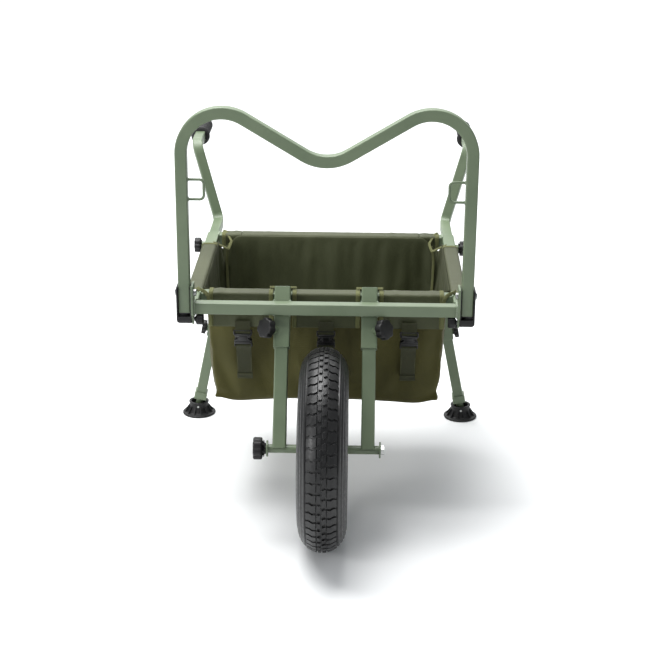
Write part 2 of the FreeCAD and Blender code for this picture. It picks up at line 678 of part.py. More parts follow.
def make_hinge_channels():
    """Plastic channels that hold the hoop's legs, closed below with rounded edges."""
    inner = size("crossbar_half") + size("plate_thickness")
    walls = size("channel_inner_wall") + size("channel_outer_wall")
    outer = inner + size("channel_slot") + walls
    front = -size("hoop_forward") - size("channel_depth") / 2
    back = front + size("channel_depth")
    bottom = size("channel_bottom")
    for side, sign in SIDES:
        faces = sorted((sign * inner, sign * outer))
        block = corner_box(f"channel_block_{side}", (faces[0], front, bottom),
                           (faces[1], back, bottom + size("channel_height")))
        doc.recompute()
        rounded = doc.addObject("Part::Fillet", f"channel_rounded_{side}")
        rounded.Base = block
        radius = size("channel_round")
        rounded.Edges = [(index, radius, radius) for index in lower_edges(block.Shape, sign * outer, bottom)]
        slot_start = inner + size("channel_inner_wall")
        slot = sorted((sign * slot_start, sign * (slot_start + size("channel_slot"))))
        room = corner_box(f"channel_slot_{side}", (slot[0], front - 1, bottom + size("channel_floor")),
                          (slot[1], back + 1, bottom + size("channel_height") + 1))
        pivot = cylinder(f"channel_pivot_hole_{side}", "bolt_radius + 0.1", "60",
                         *pivot_line(sign, inner - 5))
        lock = cylinder(f"channel_lock_hole_{side}", "bolt_radius + 0.2", "16", *lock_line(sign, 0))
        cut(f"hinge_channel_{side}", rounded, room, pivot, lock)


def lower_edges(shape, outer_face, bottom):
    """Edges round the underside of a block, leaving out the one beside the plate."""
    found = []
    for index, edge in enumerate(shape.Edges, start=1):
        middle = edge.CenterOfMass
        across = abs(edge.tangentAt(edge.FirstParameter).x) > 0.99
        if abs(middle.z - bottom) < 0.01 and (across or abs(middle.x - outer_face) < 0.01):
            found.append(index)
    return found


def make_pivot_bolts():
    """A bolt with a domed head outboard and a nut inboard at each hoop pivot."""
    bolts = []
    near = size("crossbar_half")
    far = near + size("plate_thickness") + size("channel_slot") \
        + size("channel_inner_wall") + size("channel_outer_wall")
    for side, sign in SIDES:
        shank = cylinder(f"pivot_shank_{side}", "bolt_radius", str(far - near + 9),
                         *pivot_line(sign, near - 5))
        nut = cylinder(f"pivot_nut_{side}", "bolt_radius * 1.6", "4.5", *pivot_line(sign, near - 4.5))
        head = doc.addObject("Part::Cone", f"pivot_head_{side}")
        bind(head, Radius1="bolt_radius * 1.9", Radius2="bolt_radius * 1.2", Height="bolt_radius")
        head.Placement = aimed(*pivot_line(sign, far))
        bolts.append(fused(f"pivot_bolt_{side}", shank, nut, head))
    group("hoop_pivot_bolts", *bolts)


# ---------------------------------------------------------------- front hoop

def hoop_corners():
    """Corner points of the hoop's centreline, from the left foot to the right foot."""
    half = size("hoop_width") / 2
    corner, valley = size("hoop_corner_bend"), size("hoop_valley_bend")
    across = size("hoop_offset") - corner
    corner_height = size("hoop_top") - half - corner
    valley_height = size("hoop_valley") + half + valley
    rise = valley_height - corner_height
    slope = math.asin((corner + valley) / math.hypot(across, rise)) - math.atan2(rise, across)
    shoulder = corner_height + corner * math.tan((math.pi / 2 + slope) / 2)
    middle = valley_height - valley / math.cos(slope)
    leg = size("hoop_offset")
    foot = size("hoop_foot") + size("plug_flange")
    return [Vector(-leg, foot), Vector(-leg, shoulder), Vector(0, middle),
            Vector(leg, shoulder), Vector(leg, foot)]


def make_hoop_bar():
    """The hoop: two upright legs, two round corners and a V in the middle."""
    blank = bent_square_tube("hoop_bar_blank", "XZ_Plane", hoop_corners(),
                             ("hoop_corner_bend", "hoop_valley_bend", "hoop_corner_bend"),
                             "hoop_width", "hoop_wall",
                             Placement(Vector(0, -size("hoop_forward"), 0), Rotation()))
    holes = [cylinder(f"hoop_pivot_hole_{side}", "bolt_hole_radius", "60",
                      *pivot_line(sign, size("hoop_offset") - 30)) for side, sign in SIDES]
    cut("hoop_bar", blank, *holes)


def make_hoop_end_plugs():
    """Plastic plugs that close the lower ends of the hoop's legs."""
    plugs = []
    for side, sign in SIDES:
        base = Vector(sign * size("hoop_offset"), -size("hoop_forward"), size("hoop_foot"))
        flange = box(f"plug_flange_{side}", "hoop_width", "hoop_width", "plug_flange", *base)
        body = box(f"plug_body_{side}",
                   "hoop_width - 2 * hoop_wall - 0.4", "hoop_width - 2 * hoop_wall - 0.4",
                   "plug_flange + plug_length", *base)
        plugs.append(fused(f"hoop_end_plug_{side}", flange, body))
    group("hoop_end_plugs", *plugs)


def make_cargo_loops():
    """Wire loops on the inner faces of the hoop's legs."""
    loops = []
    face = size("hoop_offset") - size("hoop_width") / 2
    reach = face - size("loop_reach")
    low, high = size("loop_low"), size("loop_high")
    for side, sign in SIDES:
        body = new_body(f"cargo_loop_{side}")
        spine = new_sketch(body, "XZ_Plane")
        corners = [Vector(sign * face, low), Vector(sign * reach, low),
                   Vector(sign * reach, high), Vector(sign * face, high)]
        add_path(spine, corners, ("loop_bend", "loop_bend"))
        section = body.newObject("Sketcher::SketchObject", f"cargo_loop_{side}_section")
        section.Placement = Placement(Vector(sign * face, 0, low), TURN_TO_X)
        add_circle(section, "loop_wire")
        pipe = body.newObject("PartDesign::AdditivePipe", f"cargo_loop_{side}_pipe")
        pipe.Profile = section
        pipe.Spine = spine
        body.Tip = pipe
        body.Placement.Base = Vector(0, -size("hoop_forward"), 0)
        loops.append(body)
    group("cargo_loops", *loops)


# ---------------------------------------------------------------- fork and axle

def make_fork_legs():
    """Two tubes that slide in the sleeves, coped over the axle bushes."""
    for side, sign in SIDES:
        x = sign * size("fork_offset")
        blank = square_tube(f"fork_leg_{side}_blank", "fork_width", "fork_wall", "fork_length", fork_frame(x))
        bush_room = cylinder(f"fork_leg_{side}_cope", "bush_radius", "60", axle_point(x - 30), ALONG_X)
        cut(f"fork_leg_{side}", blank, bush_room)


def axle_point(x):
    """A point on the axle's line."""
    return Vector(x, -size("axle_forward"), size("axle_height"))


def ring(label, radius, hole, length, x, sign=1):
    """A round tube on the axle's line, from x outboard."""
    outside = cylinder(label + "_outside", radius, length, axle_point(x), (sign, 0, 0))
    inside = cylinder(label + "_inside", hole, length, axle_point(x), (sign, 0, 0))
    return cut(label, outside, inside)


def make_axle():
    """Bush tubes and washers in pairs, and the bolt that carries the wheel."""
    group("axle_bushes", *[
        ring(f"axle_bush_{side}", "bush_radius", "axle_radius + 0.2", "bush_outer - bush_inner",
             sign * size("bush_inner"), sign) for side, sign in SIDES])
    group("axle_washers", *[
        ring(f"axle_washer_{side}", "washer_radius", "axle_radius + 0.3", "washer_thickness",
             sign * size("bush_outer"), sign) for side, sign in SIDES])
    seat = size("bush_outer") + size("washer_thickness")
    shank = cylinder("axle_shank", "axle_radius", "2 * bush_outer + 2 * washer_thickness + axle_thread",
                     axle_point(-seat - size("axle_thread")), ALONG_X)
    head = doc.addObject("Part::Prism", "axle_head")
    head.Polygon = 6
    bind(head, Circumradius="bolt_head_radius", Height="bolt_head_height")
    head.Placement = aimed(axle_point(seat), ALONG_X)
    fused("axle_bolt", shank, head)


# ---------------------------------------------------------------- wheel

def torus(label, ring_radius, section):
    """A ring round the axle."""
    item = bind(doc.addObject("Part::Torus", label), Radius1=ring_radius, Radius2=section)
    item.Placement = aimed(axle_point(0), ALONG_X)
    return item


def make_tyre():
    """The tyre's casing, open towards the rim, and the inner tube inside it."""
    middle = axle_point(-60)
    casing = torus("tyre_casing", "tyre_centre_radius", "tyre_section_radius")
    air = torus("tyre_air", "tyre_centre_radius", "tyre_inner_radius")
    bead = cylinder("tyre_bead", "bead_radius", "120", middle, ALONG_X)
    relief = cylinder("tyre_valve_relief", "valve_radius + 0.6", "valve_reach + 9", *valve_line())
    cut("tyre", casing, air, bead, relief)
    outside = torus("inner_tube_outside", "tyre_centre_radius", "inner_tube_radius")
    inside = torus("inner_tube_inside", "tyre_centre_radius", "inner_tube_radius - inner_tube_wall")
    stem = cylinder("inner_tube_stem", "valve_radius", "valve_reach + 6", *valve_line())
    cut("inner_tube", outside, inside, stem)


def valve_line():
    """The valve's line, outwards from near the hub to the inner tube, straight up from the axle."""
    base = axle_point(size("valve_offset")) + ALONG_Z * (size("rim_seat_radius") - size("valve_reach"))
    return base, ALONG_Z


def make_valve():
    """The valve stem through the rim."""
    stem = cylinder("valve_stem", "valve_radius - 0.1", "valve_reach + 5", *valve_line())
    cap = cylinder("valve_cap", "valve_radius + 0.7", "9", *valve_line())
    fused("tyre_valve", stem, cap)


def bolt_points():
    """Centres of the rim bolts, in the wheel's middle plane."""
    count = int(size("rim_bolt_count"))
    reach = size("rim_bolt_circle")
    angles = [math.pi * (2 * index + 1) / count for index in range(count)]
    return [axle_point(0) + Vector(0, reach * math.cos(angle), reach * math.sin(angle)) for angle in angles]


def make_rim():
    """Two pressed rim halves bolted together, each with a bearing cup."""
    for side, sign in SIDES:
        pieces = [
            ring(f"seat_{side}", "rim_seat_radius", "rim_seat_radius - rim_seat_wall",
                 "rim_half_width", 0, sign),
            ring(f"flange_{side}", "rim_flange_radius", "rim_seat_radius - rim_seat_wall", "rim_flange_width",
                 sign * (size("rim_half_width") - size("rim_flange_width")), sign),
            ring(f"web_{side}", "rim_seat_radius - 1", "spacer_radius + 1", "rim_web", 0, sign),
            ring(f"cup_{side}", "bearing_radius + cup_wall", "bearing_radius", "bearing_outer", 0, sign)]
        whole = fused(f"rim_half_{side}_blank", *pieces)
        holes = [cylinder(f"rim_hole_{side}_{index}", "rim_bolt_radius + 0.2", "10",
                          point - ALONG_X * 5, ALONG_X) for index, point in enumerate(bolt_points())]
        if sign > 0:
            holes.append(cylinder("valve_hole", "valve_radius + 0.4", "60", *valve_line()))
        cut(f"rim_half_{side}", whole, *holes)


def make_rim_bolts():
    """Four bolts with their nuts."""
    bolts = []
    for index, point in enumerate(bolt_points()):
        web = size("rim_web")
        shank = cylinder(f"rim_shank_{index}", "rim_bolt_radius", "2 * rim_web + 8",
                         point - ALONG_X * (web + 2),
                         ALONG_X)
        head = cylinder(f"rim_head_{index}", "rim_bolt_radius * 1.8", "4",
                        point - ALONG_X * (web + 4), ALONG_X)
        nut = cylinder(f"rim_nut_{index}", "rim_bolt_radius * 1.8", "5", point + ALONG_X * web, ALONG_X)
        bolts.append(fused(f"rim_bolt_{index}", shank, head, nut))
    group("rim_bolts", *bolts)


def make_bearings():
    """Two bearings and the spacer tube between them."""
    start = size("bearing_outer") - size("bearing_width")
    group("wheel_bearings", *[
        ring(f"wheel_bearing_{side}", "bearing_radius", "axle_hole_radius",
             "bearing_width", sign * start, sign)
        for side, sign in SIDES])
    ring("bearing_spacer", "spacer_radius", "axle_radius + 0.2",
         "2 * (bearing_outer - bearing_width)", -start)


# ---------------------------------------------------------------- handles

def handle_frame(sign):
    """Z leans outboard along the handle's rise, Y runs back along the rail."""
    base = Vector(sign * size("rail_offset"), 0, size("rail_height"))
    return Placement(base, Rotation(ALONG_Y, sign * size("handle_lean")))


def make_handles():
    """Bent tubes that telescope in the side rails, each with a flanged grip."""
    rise = size("handle_rise")
    corners = [Vector(size("handle_inner"), 0), Vector(size("handle_bend_at"), 0),
               Vector(size("handle_top_bend_at"), rise), Vector(size("handle_end"), rise)]
    for side, sign in SIDES:
        bent_square_tube(f"handle_tube_{side}", "YZ_Plane", corners, ("handle_bend", "handle_bend"),
                         "handle_width", "handle_wall", handle_frame(sign), twist=sign * size("handle_lean"))
        make_grip(side, sign)


def make_grip(side, sign):
    """A rubber grip with a flange in front and a closed end."""
    lean = math.radians(size("handle_lean"))
    rise = size("handle_rise")
    x = sign * (size("rail_offset") + rise * math.sin(lean))
    z = size("rail_height") + rise * math.cos(lean)
    front = Vector(x, size("grip_front"), z)
    shaft = cylinder(f"grip_shaft_{side}", "grip_radius", "grip_end - grip_front", front, ALONG_Y)
    flange = cylinder(f"grip_flange_{side}", "grip_flange_radius", "grip_flange", front, ALONG_Y)
    whole = fused(f"grip_{side}_blank", shaft, flange)
    hole = box(f"grip_hole_{side}", "grip_hole", "handle_end - grip_front + 1", "grip_hole",
               x, (size("grip_front") + size("handle_end")) / 2, z - size("grip_hole") / 2)
    cut(f"grip_{side}", whole, hole)


# ---------------------------------------------------------------- legs and feet

def make_legs():
    """Leg tubes with a welded end bracket and lug, the pins and the round feet."""
    for side, sign in SIDES:
        frame = leg_frame(sign)
        pivot = foot_pivot(sign)
        tube = square_tube(f"leg_{side}_tube", "leg_width", "leg_wall", "leg_length",
                           within(frame, z=size("leg_start")))
        bracket = square_tube(f"leg_{side}_bracket", "collar_width", "leg_wall", "collar_length",
                              within(frame, z=size("collar_start")), hollow=False)
        lug = cylinder(f"leg_{side}_lug", "lug_radius", "lug_below + collar_start + 1",
                       *line_of(within(frame, z=-size("lug_below"))))
        whole = fused(f"leg_tube_{side}_blank", tube, bracket, lug)
        pin_start = pivot - ALONG_Y * (size("pin_length") / 2)
        bore = cylinder(f"leg_{side}_bore", "pin_radius + 0.02", "pin_length", pin_start, ALONG_Y)
        cut(f"leg_tube_{side}", whole, bore)
        cylinder(f"foot_pin_{side}", "pin_radius", "pin_length", pin_start, ALONG_Y)
        make_foot(side, pivot)


def make_foot(side, pivot):
    """A round foot: flange, cone and neck, hollow above for the leg's lug."""
    ground = Vector(pivot.x, pivot.y, 0)
    flange = cylinder(f"foot_flange_{side}", "foot_flange_radius", "foot_flange", ground)
    cone = doc.addObject("Part::Cone", f"foot_cone_{side}")
    bind(cone, Radius1="foot_cone_radius", Radius2="foot_neck_radius", Height="foot_cone_height")
    cone.Placement.Base = ground
    neck = cylinder(f"foot_neck_{side}", "foot_neck_radius", "foot_height", ground)
    whole = fused(f"foot_{side}_blank", flange, cone, neck)
    hollow = cylinder(f"foot_hollow_{side}", "foot_hollow_radius", "foot_height",
                      ground + ALONG_Z * size("foot_hollow_floor"))
    bore = cylinder(f"foot_bore_{side}", "pin_hole_radius", "80", pivot - ALONG_Y * 40, ALONG_Y)
    cut(f"foot_{side}", whole, hollow, bore)


# ---------------------------------------------------------------- bag, straps and buckles

def tapered_block(label, inset, floor, lid):
    """A block between the bag's bottom and top outlines, inset all round."""
    levels = (
        (size("bag_base_half_width"), size("bag_base_front"), size("bag_base_back"), size("bag_bottom")),
        (size("bag_half_width"), size("bag_front"), size("bag_back"), size("bag_top")))
    outlines = []
    height = size("bag_top") - size("bag_bottom")
    for target in (floor, lid):
        share = (target - size("bag_bottom")) / height
        half, front, back, _ = [low + (high - low) * share for low, high in zip(*levels)]
        half, front, back = half - inset, front - inset, back - inset
        corners = [Vector(-half, -front, target), Vector(half, -front, target),
                   Vector(half, back, target), Vector(-half, back, target)]
        outlines.append(Part.makePolygon(corners + corners[:1]))
    block = doc.addObject("Part::Feature", label)
    block.Shape = Part.makeLoft(outlines, True, True)
    return block


def wrap(label, low_x, high_x, low_y, high_y, flap):
    """A strip over a rail's top with a flap down one of its sides."""
    rail_top = size("rail_height") + size("rail_width") / 2 + size("wrap_gap")
    strip = corner_box(label + "_top", (low_x, low_y, rail_top), (high_x, high_y, size("bag_top")))
    return fused(label, strip, flap)


def make_bag():
    """The bag: a tapered sack inside the rails, with wraps over each rail and a front flap."""
    fabric = size("fabric")
    top, bottom = size("bag_top"), size("bag_bottom")
    outside = tapered_block("bag_outside", 0.0, bottom, top)
    inside = tapered_block("bag_inside", fabric, bottom + fabric, top + 1)
    gap = size("wrap_gap")
    half_rail = size("rail_width") / 2
    side_face = size("rail_offset") + half_rail + gap
    side_low = size("side_flap_bottom")
    wraps = []
    for side, sign in SIDES:
        inner, outer = size("bag_half_width") - fabric, side_face + fabric
        strip = sorted((sign * inner, sign * outer))
        face = sorted((sign * side_face, sign * outer))
        flap = corner_box(f"side_flap_{side}", (face[0], -size("side_wrap_front"), side_low),
                          (face[1], size("side_wrap_back"), top))
        wraps.append(wrap(f"side_wrap_{side}", *strip,
                          -size("side_wrap_front"), size("side_wrap_back"), flap))
    front_face = -(size("front_rail_forward") + half_rail + gap)
    notch_in, notch_out, end = size("notch_inner"), size("notch_outer"), size("front_wrap_half")
    for name, low, high in (("left", -end, -notch_out), ("centre", -notch_in, notch_in),
                            ("right", notch_out, end)):
        flap = corner_box(f"front_flap_{name}", (low, front_face - fabric, size("flap_bottom")),
                          (high, front_face, top))
        wraps.append(wrap(f"front_wrap_{name}", low, high, front_face - fabric,
                          fabric - size("bag_front"), flap))
    rear_face = size("rear_rail_back") + half_rail + gap
    half = size("rear_wrap_half")
    flap = corner_box("rear_flap", (-half, rear_face, side_low), (half, rear_face + fabric, top))
    wraps.append(wrap("rear_wrap", -half, half, size("bag_back") - fabric, rear_face + fabric, flap))
    whole = fused("bag_blank", outside, *wraps)
    cut("bag", whole, inside)


def strap_frame(x):
    """Origin on the back of a strap at the flap's edge. Z runs down the strap, -Y faces out."""
    base = Vector(x, -size("strap_face"), size("flap_bottom"))
    return Placement(base, Rotation(ALONG_X, 180 + size("strap_pitch")) * Rotation(ALONG_Z, 180))


def strap_box(label, frame, width, thickness, length, down, lift=0.0):
    """A flat piece on a strap's line: down from the flap's edge, lifted off its back."""
    item = bind(doc.addObject("Part::Box", label), Length=width, Width=thickness, Height=length)
    doc.recompute([item])
    item.Placement = within(frame, -item.Length.Value / 2, -item.Width.Value - lift, down)
    return item


def make_straps():
    """Three straps from the flap to the sack, each with a two-part buckle."""
    centres = (("left", -size("strap_offset")), ("centre", 0.0), ("right", size("strap_offset")))
    uppers, sockets = [], []
    socket_at = size("socket_start")
    plug_at = socket_at + size("socket_length")
    prong_at = plug_at - size("prong_depth")
    wall, gap = size("socket_wall"), size("slip_gap")
    for name, x in centres:
        frame = strap_frame(x)
        uppers.append(strap_box(f"upper_strap_{name}", frame, "strap_width", "strap_thickness",
                                "socket_start + strap_overlap", -size("strap_overlap")))
        shell = strap_box(f"socket_shell_{name}", frame, "buckle_width", "buckle_thickness",
                          "socket_length", socket_at)
        room = strap_box(f"socket_room_{name}", frame, "buckle_width - 2 * socket_wall",
                         "buckle_thickness - 2 * socket_wall", "prong_depth + 2 * prong_room",
                         prong_at - size("prong_room"), wall)
        sockets.append(cut(f"buckle_socket_{name}", shell, room))
        body = strap_box(f"plug_body_{name}_block", frame, "buckle_width", "buckle_thickness",
                         "plug_body - slip_gap", plug_at + gap)
        prongs = [body]
        for index, share in enumerate((-1, 0, 1)):
            prong = strap_box(f"prong_{name}_{index}", frame, "buckle_width / 6",
                              "buckle_thickness - 2 * socket_wall - 2 * slip_gap",
                              "prong_depth + prong_room", prong_at, wall + gap)
            prong.Placement.Base += Vector(share * size("buckle_width") / 3, 0, 0)
            prongs.append(prong)
        fused(f"buckle_plug_{name}", *prongs)
        strap_box(f"lower_strap_{name}", frame, "strap_width", "strap_thickness", "lower_strap_length",
                  plug_at + size("plug_body"))
    group("flap_straps", *uppers)
    group("buckle_sockets", *sockets)


# ---------------------------------------------------------------- clamp and lock knobs

def make_knobs():
    """A star knob on the axle, on each clamp screw and at each hoop hinge."""
    gap = size("slip_gap")
    seat = axle_point(-size("bush_outer") - size("washer_thickness") - gap)
    blank = star_knob("axle_knob_blank", "axle_knob_radius", "axle_knob_thickness", "axle_knob_neck",
                      "0.1", aimed(seat, -ALONG_X))
    collar = cylinder("axle_knob_collar", "axle_collar_radius", "axle_knob_neck + 1", seat, -ALONG_X)
    bore = cylinder("axle_knob_bore", "axle_hole_radius", "axle_thread + 1", seat + ALONG_X / 2, -ALONG_X)
    cut("axle_knob", fused("axle_knob_solid", blank, collar), bore)
    for side, sign in SIDES:
        star_knob(f"fork_knob_{side}", "fork_knob_radius", "fork_knob_thickness", "4", "10",
                  within(fork_clamp_frame(sign), z=size("boss_top") + gap))
        handle_seat = size("rail_width") / 2 + size("handle_boss_height") + gap
        star_knob(f"handle_knob_{side}", "handle_knob_radius", "handle_knob_thickness", "1.5", "9",
                  within(handle_clamp_frame(sign), z=handle_seat))
        leg_seat = size("leg_sleeve_width") / 2 + size("leg_boss_height") + gap
        star_knob(f"leg_knob_{side}", "leg_knob_radius", "leg_knob_thickness", "1", "4.9",
                  within(leg_clamp_frame(sign), z=leg_seat))
        start, outboard = lock_line(sign, -gap)
        inboard = (-outboard[0], 0, 0)
        star_knob(f"hoop_lock_knob_{side}", "lock_knob_radius", "lock_knob_thickness", "3", "14",
                  aimed(start, inboard))


# ---------------------------------------------------------------- make, check and write

NODES = (
    ["side_rail_left", "side_rail_right", "front_rail", "rear_rail", "front_crossbar", "hinge_plates",
     "hinge_channel_left", "hinge_channel_right", "hoop_pivot_bolts", "fork_sleeve_left",
     "fork_sleeve_right", "leg_sleeve_left", "leg_sleeve_right", "clamp_bosses", "bag", "flap_straps",
     "buckle_sockets", "hoop_bar", "hoop_end_plugs", "cargo_loops", "axle_bushes", "axle_washers",
     "axle_bolt", "axle_knob", "tyre", "inner_tube", "tyre_valve", "rim_half_left", "rim_half_right",
     "rim_bolts", "wheel_bearings", "bearing_spacer"]
    + [f"{piece}_{side}" for piece in ("fork_leg", "fork_knob", "handle_tube", "grip", "handle_knob",
                                       "leg_tube", "foot_pin", "foot", "leg_knob", "hoop_lock_knob")
       for side in ("left", "right")]
    + [f"{piece}_{name}" for piece in ("buckle_plug", "lower_strap")
       for name in ("left", "centre", "right")])


def check_document():
    """Stop if any object failed to compute."""
    for item in doc.Objects:
        if "Invalid" in item.State or "Error" in item.State:
            raise RuntimeError(f"{item.Name}: {item.State}")


def write_nodes():
    """Check each sub-part's shape and write it to its own file."""
    os.makedirs("parts", exist_ok=True)
    for name in NODES:
        item = doc.getObject(name)
        shape = item.Shape
        if shape.isNull() or not shape.isValid() or not shape.Solids:
            raise RuntimeError(name + ": no valid solid")
        item.Label = name
        shape.exportStep(f"parts/{name}.step")
    print(len(NODES), "nodes")


make_side_rails()
make_cross_rails()
make_fork_sleeves()
make_leg_sleeves()
make_clamp_bosses()
make_hinge_plates()
make_hinge_channels()
make_pivot_bolts()
make_hoop_bar()
make_hoop_end_plugs()
make_cargo_loops()
make_fork_legs()
make_axle()
make_tyre()
make_valve()
make_rim()
make_rim_bolts()
make_bearings()
make_handles()
make_legs()
make_bag()
make_straps()
make_knobs()
doc.recompute()
check_document()
write_nodes()
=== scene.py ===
import json
import math

import bmesh
import bpy
from mathutils import Matrix, Vector, noise


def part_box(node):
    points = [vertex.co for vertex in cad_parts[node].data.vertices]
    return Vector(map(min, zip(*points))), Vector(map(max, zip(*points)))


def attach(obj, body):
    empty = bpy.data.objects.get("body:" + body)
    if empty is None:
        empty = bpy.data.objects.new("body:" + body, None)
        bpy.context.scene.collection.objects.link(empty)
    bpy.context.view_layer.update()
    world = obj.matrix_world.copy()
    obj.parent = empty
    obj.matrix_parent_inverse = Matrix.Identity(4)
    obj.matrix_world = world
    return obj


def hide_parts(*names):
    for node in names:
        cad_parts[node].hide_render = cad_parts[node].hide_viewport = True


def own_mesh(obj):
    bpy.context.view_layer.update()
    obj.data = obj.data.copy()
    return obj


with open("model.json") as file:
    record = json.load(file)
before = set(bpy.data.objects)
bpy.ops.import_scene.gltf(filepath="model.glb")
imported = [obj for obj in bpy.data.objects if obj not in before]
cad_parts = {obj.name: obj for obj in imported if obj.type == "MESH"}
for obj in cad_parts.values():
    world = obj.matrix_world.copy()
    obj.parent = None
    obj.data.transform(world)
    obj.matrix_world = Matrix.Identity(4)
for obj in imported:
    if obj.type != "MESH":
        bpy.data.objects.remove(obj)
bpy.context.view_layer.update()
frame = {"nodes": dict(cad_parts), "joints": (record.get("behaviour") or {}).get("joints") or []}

# ---------------------------------------------------------------- the room
# A pale floor and an even white sky stand in for a plain studio. One broad soft lamp hangs
# over the cart, a weaker one fills its front and a third keeps the floor behind it white.

bpy.context.scene.view_settings.view_transform = "Standard"
sky = bpy.data.worlds.new("sky")
bpy.context.scene.world = sky
sky.use_nodes = True
sky.node_tree.nodes["Background"].inputs["Color"].default_value = (0.93, 0.96, 1.0, 1)
sky.node_tree.nodes["Background"].inputs["Strength"].default_value = 0.48


def lamp(name, place, target, width, power):
    """A square soft lamp that faces a point."""
    light = bpy.data.lights.new(name, "AREA")
    light.size = width
    light.energy = power
    item = bpy.data.objects.new(name, light)
    bpy.context.scene.collection.objects.link(item)
    item.location = place
    item.rotation_euler = (Vector(target) - Vector(place)).to_track_quat("-Z", "Y").to_euler()


lamp("overhead_lamp", (-0.6, 0.3, 2.8), (0, 0, 0.4), 2.0, 145)
lamp("front_lamp", (-2.7, -2.3, 1.3), (0, -0.1, 0.4), 1.2, 40)
lamp("floor_lamp", (0, 5.5, 3.2), (0, 6.0, 0), 5.0, 260)

eye = bpy.data.cameras.new("eye")
eye.sensor_width = 36
eye.lens = 36 * 1500 / 650
eye_object = bpy.data.objects.new("eye", eye)
bpy.context.scene.collection.objects.link(eye_object)
bpy.context.scene.camera = eye_object
eye_object.matrix_world = (Matrix.Translation((0.0544, -2.8984, 1.354))
                           @ Matrix.Rotation(math.radians(1.2), 4, "Z")
                           @ Matrix.Rotation(math.radians(90 - 19.9), 4, "X")
                           @ Matrix.Rotation(math.radians(0.4), 4, "Z"))

# ---------------------------------------------------------------- painted steel frame
# The rails, crossbar, sleeves, hoop, fork, handles and legs are welded or telescoping square
# steel tube with a satin sage green powder coat, a little paler where edges rub.


def new_finish(name, colour, roughness, **plain):
    """A material with a principled shader; plain values go straight onto its sockets."""
    finish = bpy.data.materials.new(name)
    finish.use_nodes = True
    shader = finish.node_tree.nodes["Principled BSDF"]
    shader.inputs["Base Color"].default_value = (*colour, 1)
    shader.inputs["Roughness"].default_value = roughness
    for words, value in plain.items():
        shader.inputs[words.replace("_", " ").title().replace("Ior", "IOR")].default_value = value
    return finish


def add_node(finish, kind, settings=None, **inputs):
    """Adds a shader node; each input is a value or another node's output."""
    item = finish.node_tree.nodes.new("ShaderNode" + kind)
    for name, value in (settings or {}).items():
        setattr(item, name, value)
    for name, value in inputs.items():
        socket = item.inputs[int(name[1:])] if name[1:].isdigit() else item.inputs[name.replace("_", " ")]
        if isinstance(value, bpy.types.NodeSocket):
            finish.node_tree.links.new(value, socket)
        else:
            socket.default_value = value
    return item


def own_place(finish, turn=(0, 0, 0), scale=(1, 1, 1)):
    """Object coordinates, turned and scaled."""
    start = add_node(finish, "TexCoord").outputs["Object"]
    return add_node(finish, "Mapping", Vector=start, Rotation=turn, Scale=scale).outputs["Vector"]


def cloudy(finish, place, scale, detail=4.0):
    """Soft noise between 0 and 1."""
    return add_node(finish, "TexNoise", Vector=place, Scale=scale, Detail=detail).outputs[0]


def shades(finish, factor, *stops):
    """A colour ramp over a factor; each stop is a position and a colour."""
    ramp = add_node(finish, "ValToRGB", Fac=factor)
    elements = ramp.color_ramp.elements
    while len(elements) < len(stops):
        elements.new(0.5)
    for element, (position, colour) in zip(elements, stops):
        element.position = position
        element.color = (*colour, 1)
    return ramp.outputs["Color"]


def mixed(finish, factor, first, second, blend="MIX"):
    """Two colours mixed by a factor."""
    mix = add_node(finish, "Mix", {"data_type": "RGBA", "blend_type": blend}, _0=factor)
    for index, value in ((6, first), (7, second)):
        if isinstance(value, bpy.types.NodeSocket):
            finish.node_tree.links.new(value, mix.inputs[index])
        else:
            mix.inputs[index].default_value = (*value, 1)
    return mix.outputs[2]


def sums(finish, operation, first, second):
    """One arithmetic step."""
    return add_node(finish, "Math", {"operation": operation}, _0=first, _1=second).outputs[0]


def raised(finish, height, depth, normal=None):
    """A bump from a height, on top of another normal if given."""
    inputs = {"Height": height, "Distance": depth, "Strength": 1.0}
    if normal is not None:
        inputs["Normal"] = normal
    return add_node(finish, "Bump", **inputs).outputs["Normal"]


def wire_up(finish, **sockets):
    """Links outputs to the shader's sockets."""
    shader = finish.node_tree.nodes["Principled BSDF"]
    for words, output in sockets.items():
        finish.node_tree.links.new(output, shader.inputs[words.replace("_", " ").title()])


def rubbed_edges(finish, width):
    """The normal of softly rounded edges, and how far a point is along such an edge."""
    soft = add_node(finish, "Bevel", {"samples": 6}, Radius=width).outputs["Normal"]
    true = add_node(finish, "NewGeometry").outputs["True Normal"]
    along = add_node(finish, "VectorMath", {"operation": "DOT_PRODUCT"}, _0=soft, _1=true).outputs["Value"]
    worn = add_node(finish, "MapRange", Value=along, From_Min=0.99, From_Max=0.86, To_Min=0.0, To_Max=1.0)
    return soft, worn.outputs[0]


def powder_coat(name, dark, light, edge):
    """Satin powder coat: faint orange peel, slight mottling and paler edges."""
    finish = new_finish(name, light, 0.42, Specular_IOR_Level=0.5)
    place = own_place(finish)
    body = shades(finish, cloudy(finish, place, 9.0), (0.35, dark), (0.65, light))
    soft, worn = rubbed_edges(finish, 0.0012)
    patchy = sums(finish, "MULTIPLY", worn, cloudy(finish, place, 60.0))
    wire_up(finish, Base_Color=mixed(finish, patchy, body, edge),
            Normal=raised(finish, cloudy(finish, place, 700.0, 2.0), 0.00006, soft))
    rough = add_node(finish, "MapRange", Value=cloudy(finish, place, 25.0), To_Min=0.36, To_Max=0.5)
    wire_up(finish, Roughness=rough.outputs[0])
    return finish


def coat(finish, *nodes):
    """Puts a finish on CAD nodes."""
    for name in nodes:
        slots = frame["nodes"][name].data.materials
        slots.clear()
        slots.append(finish)


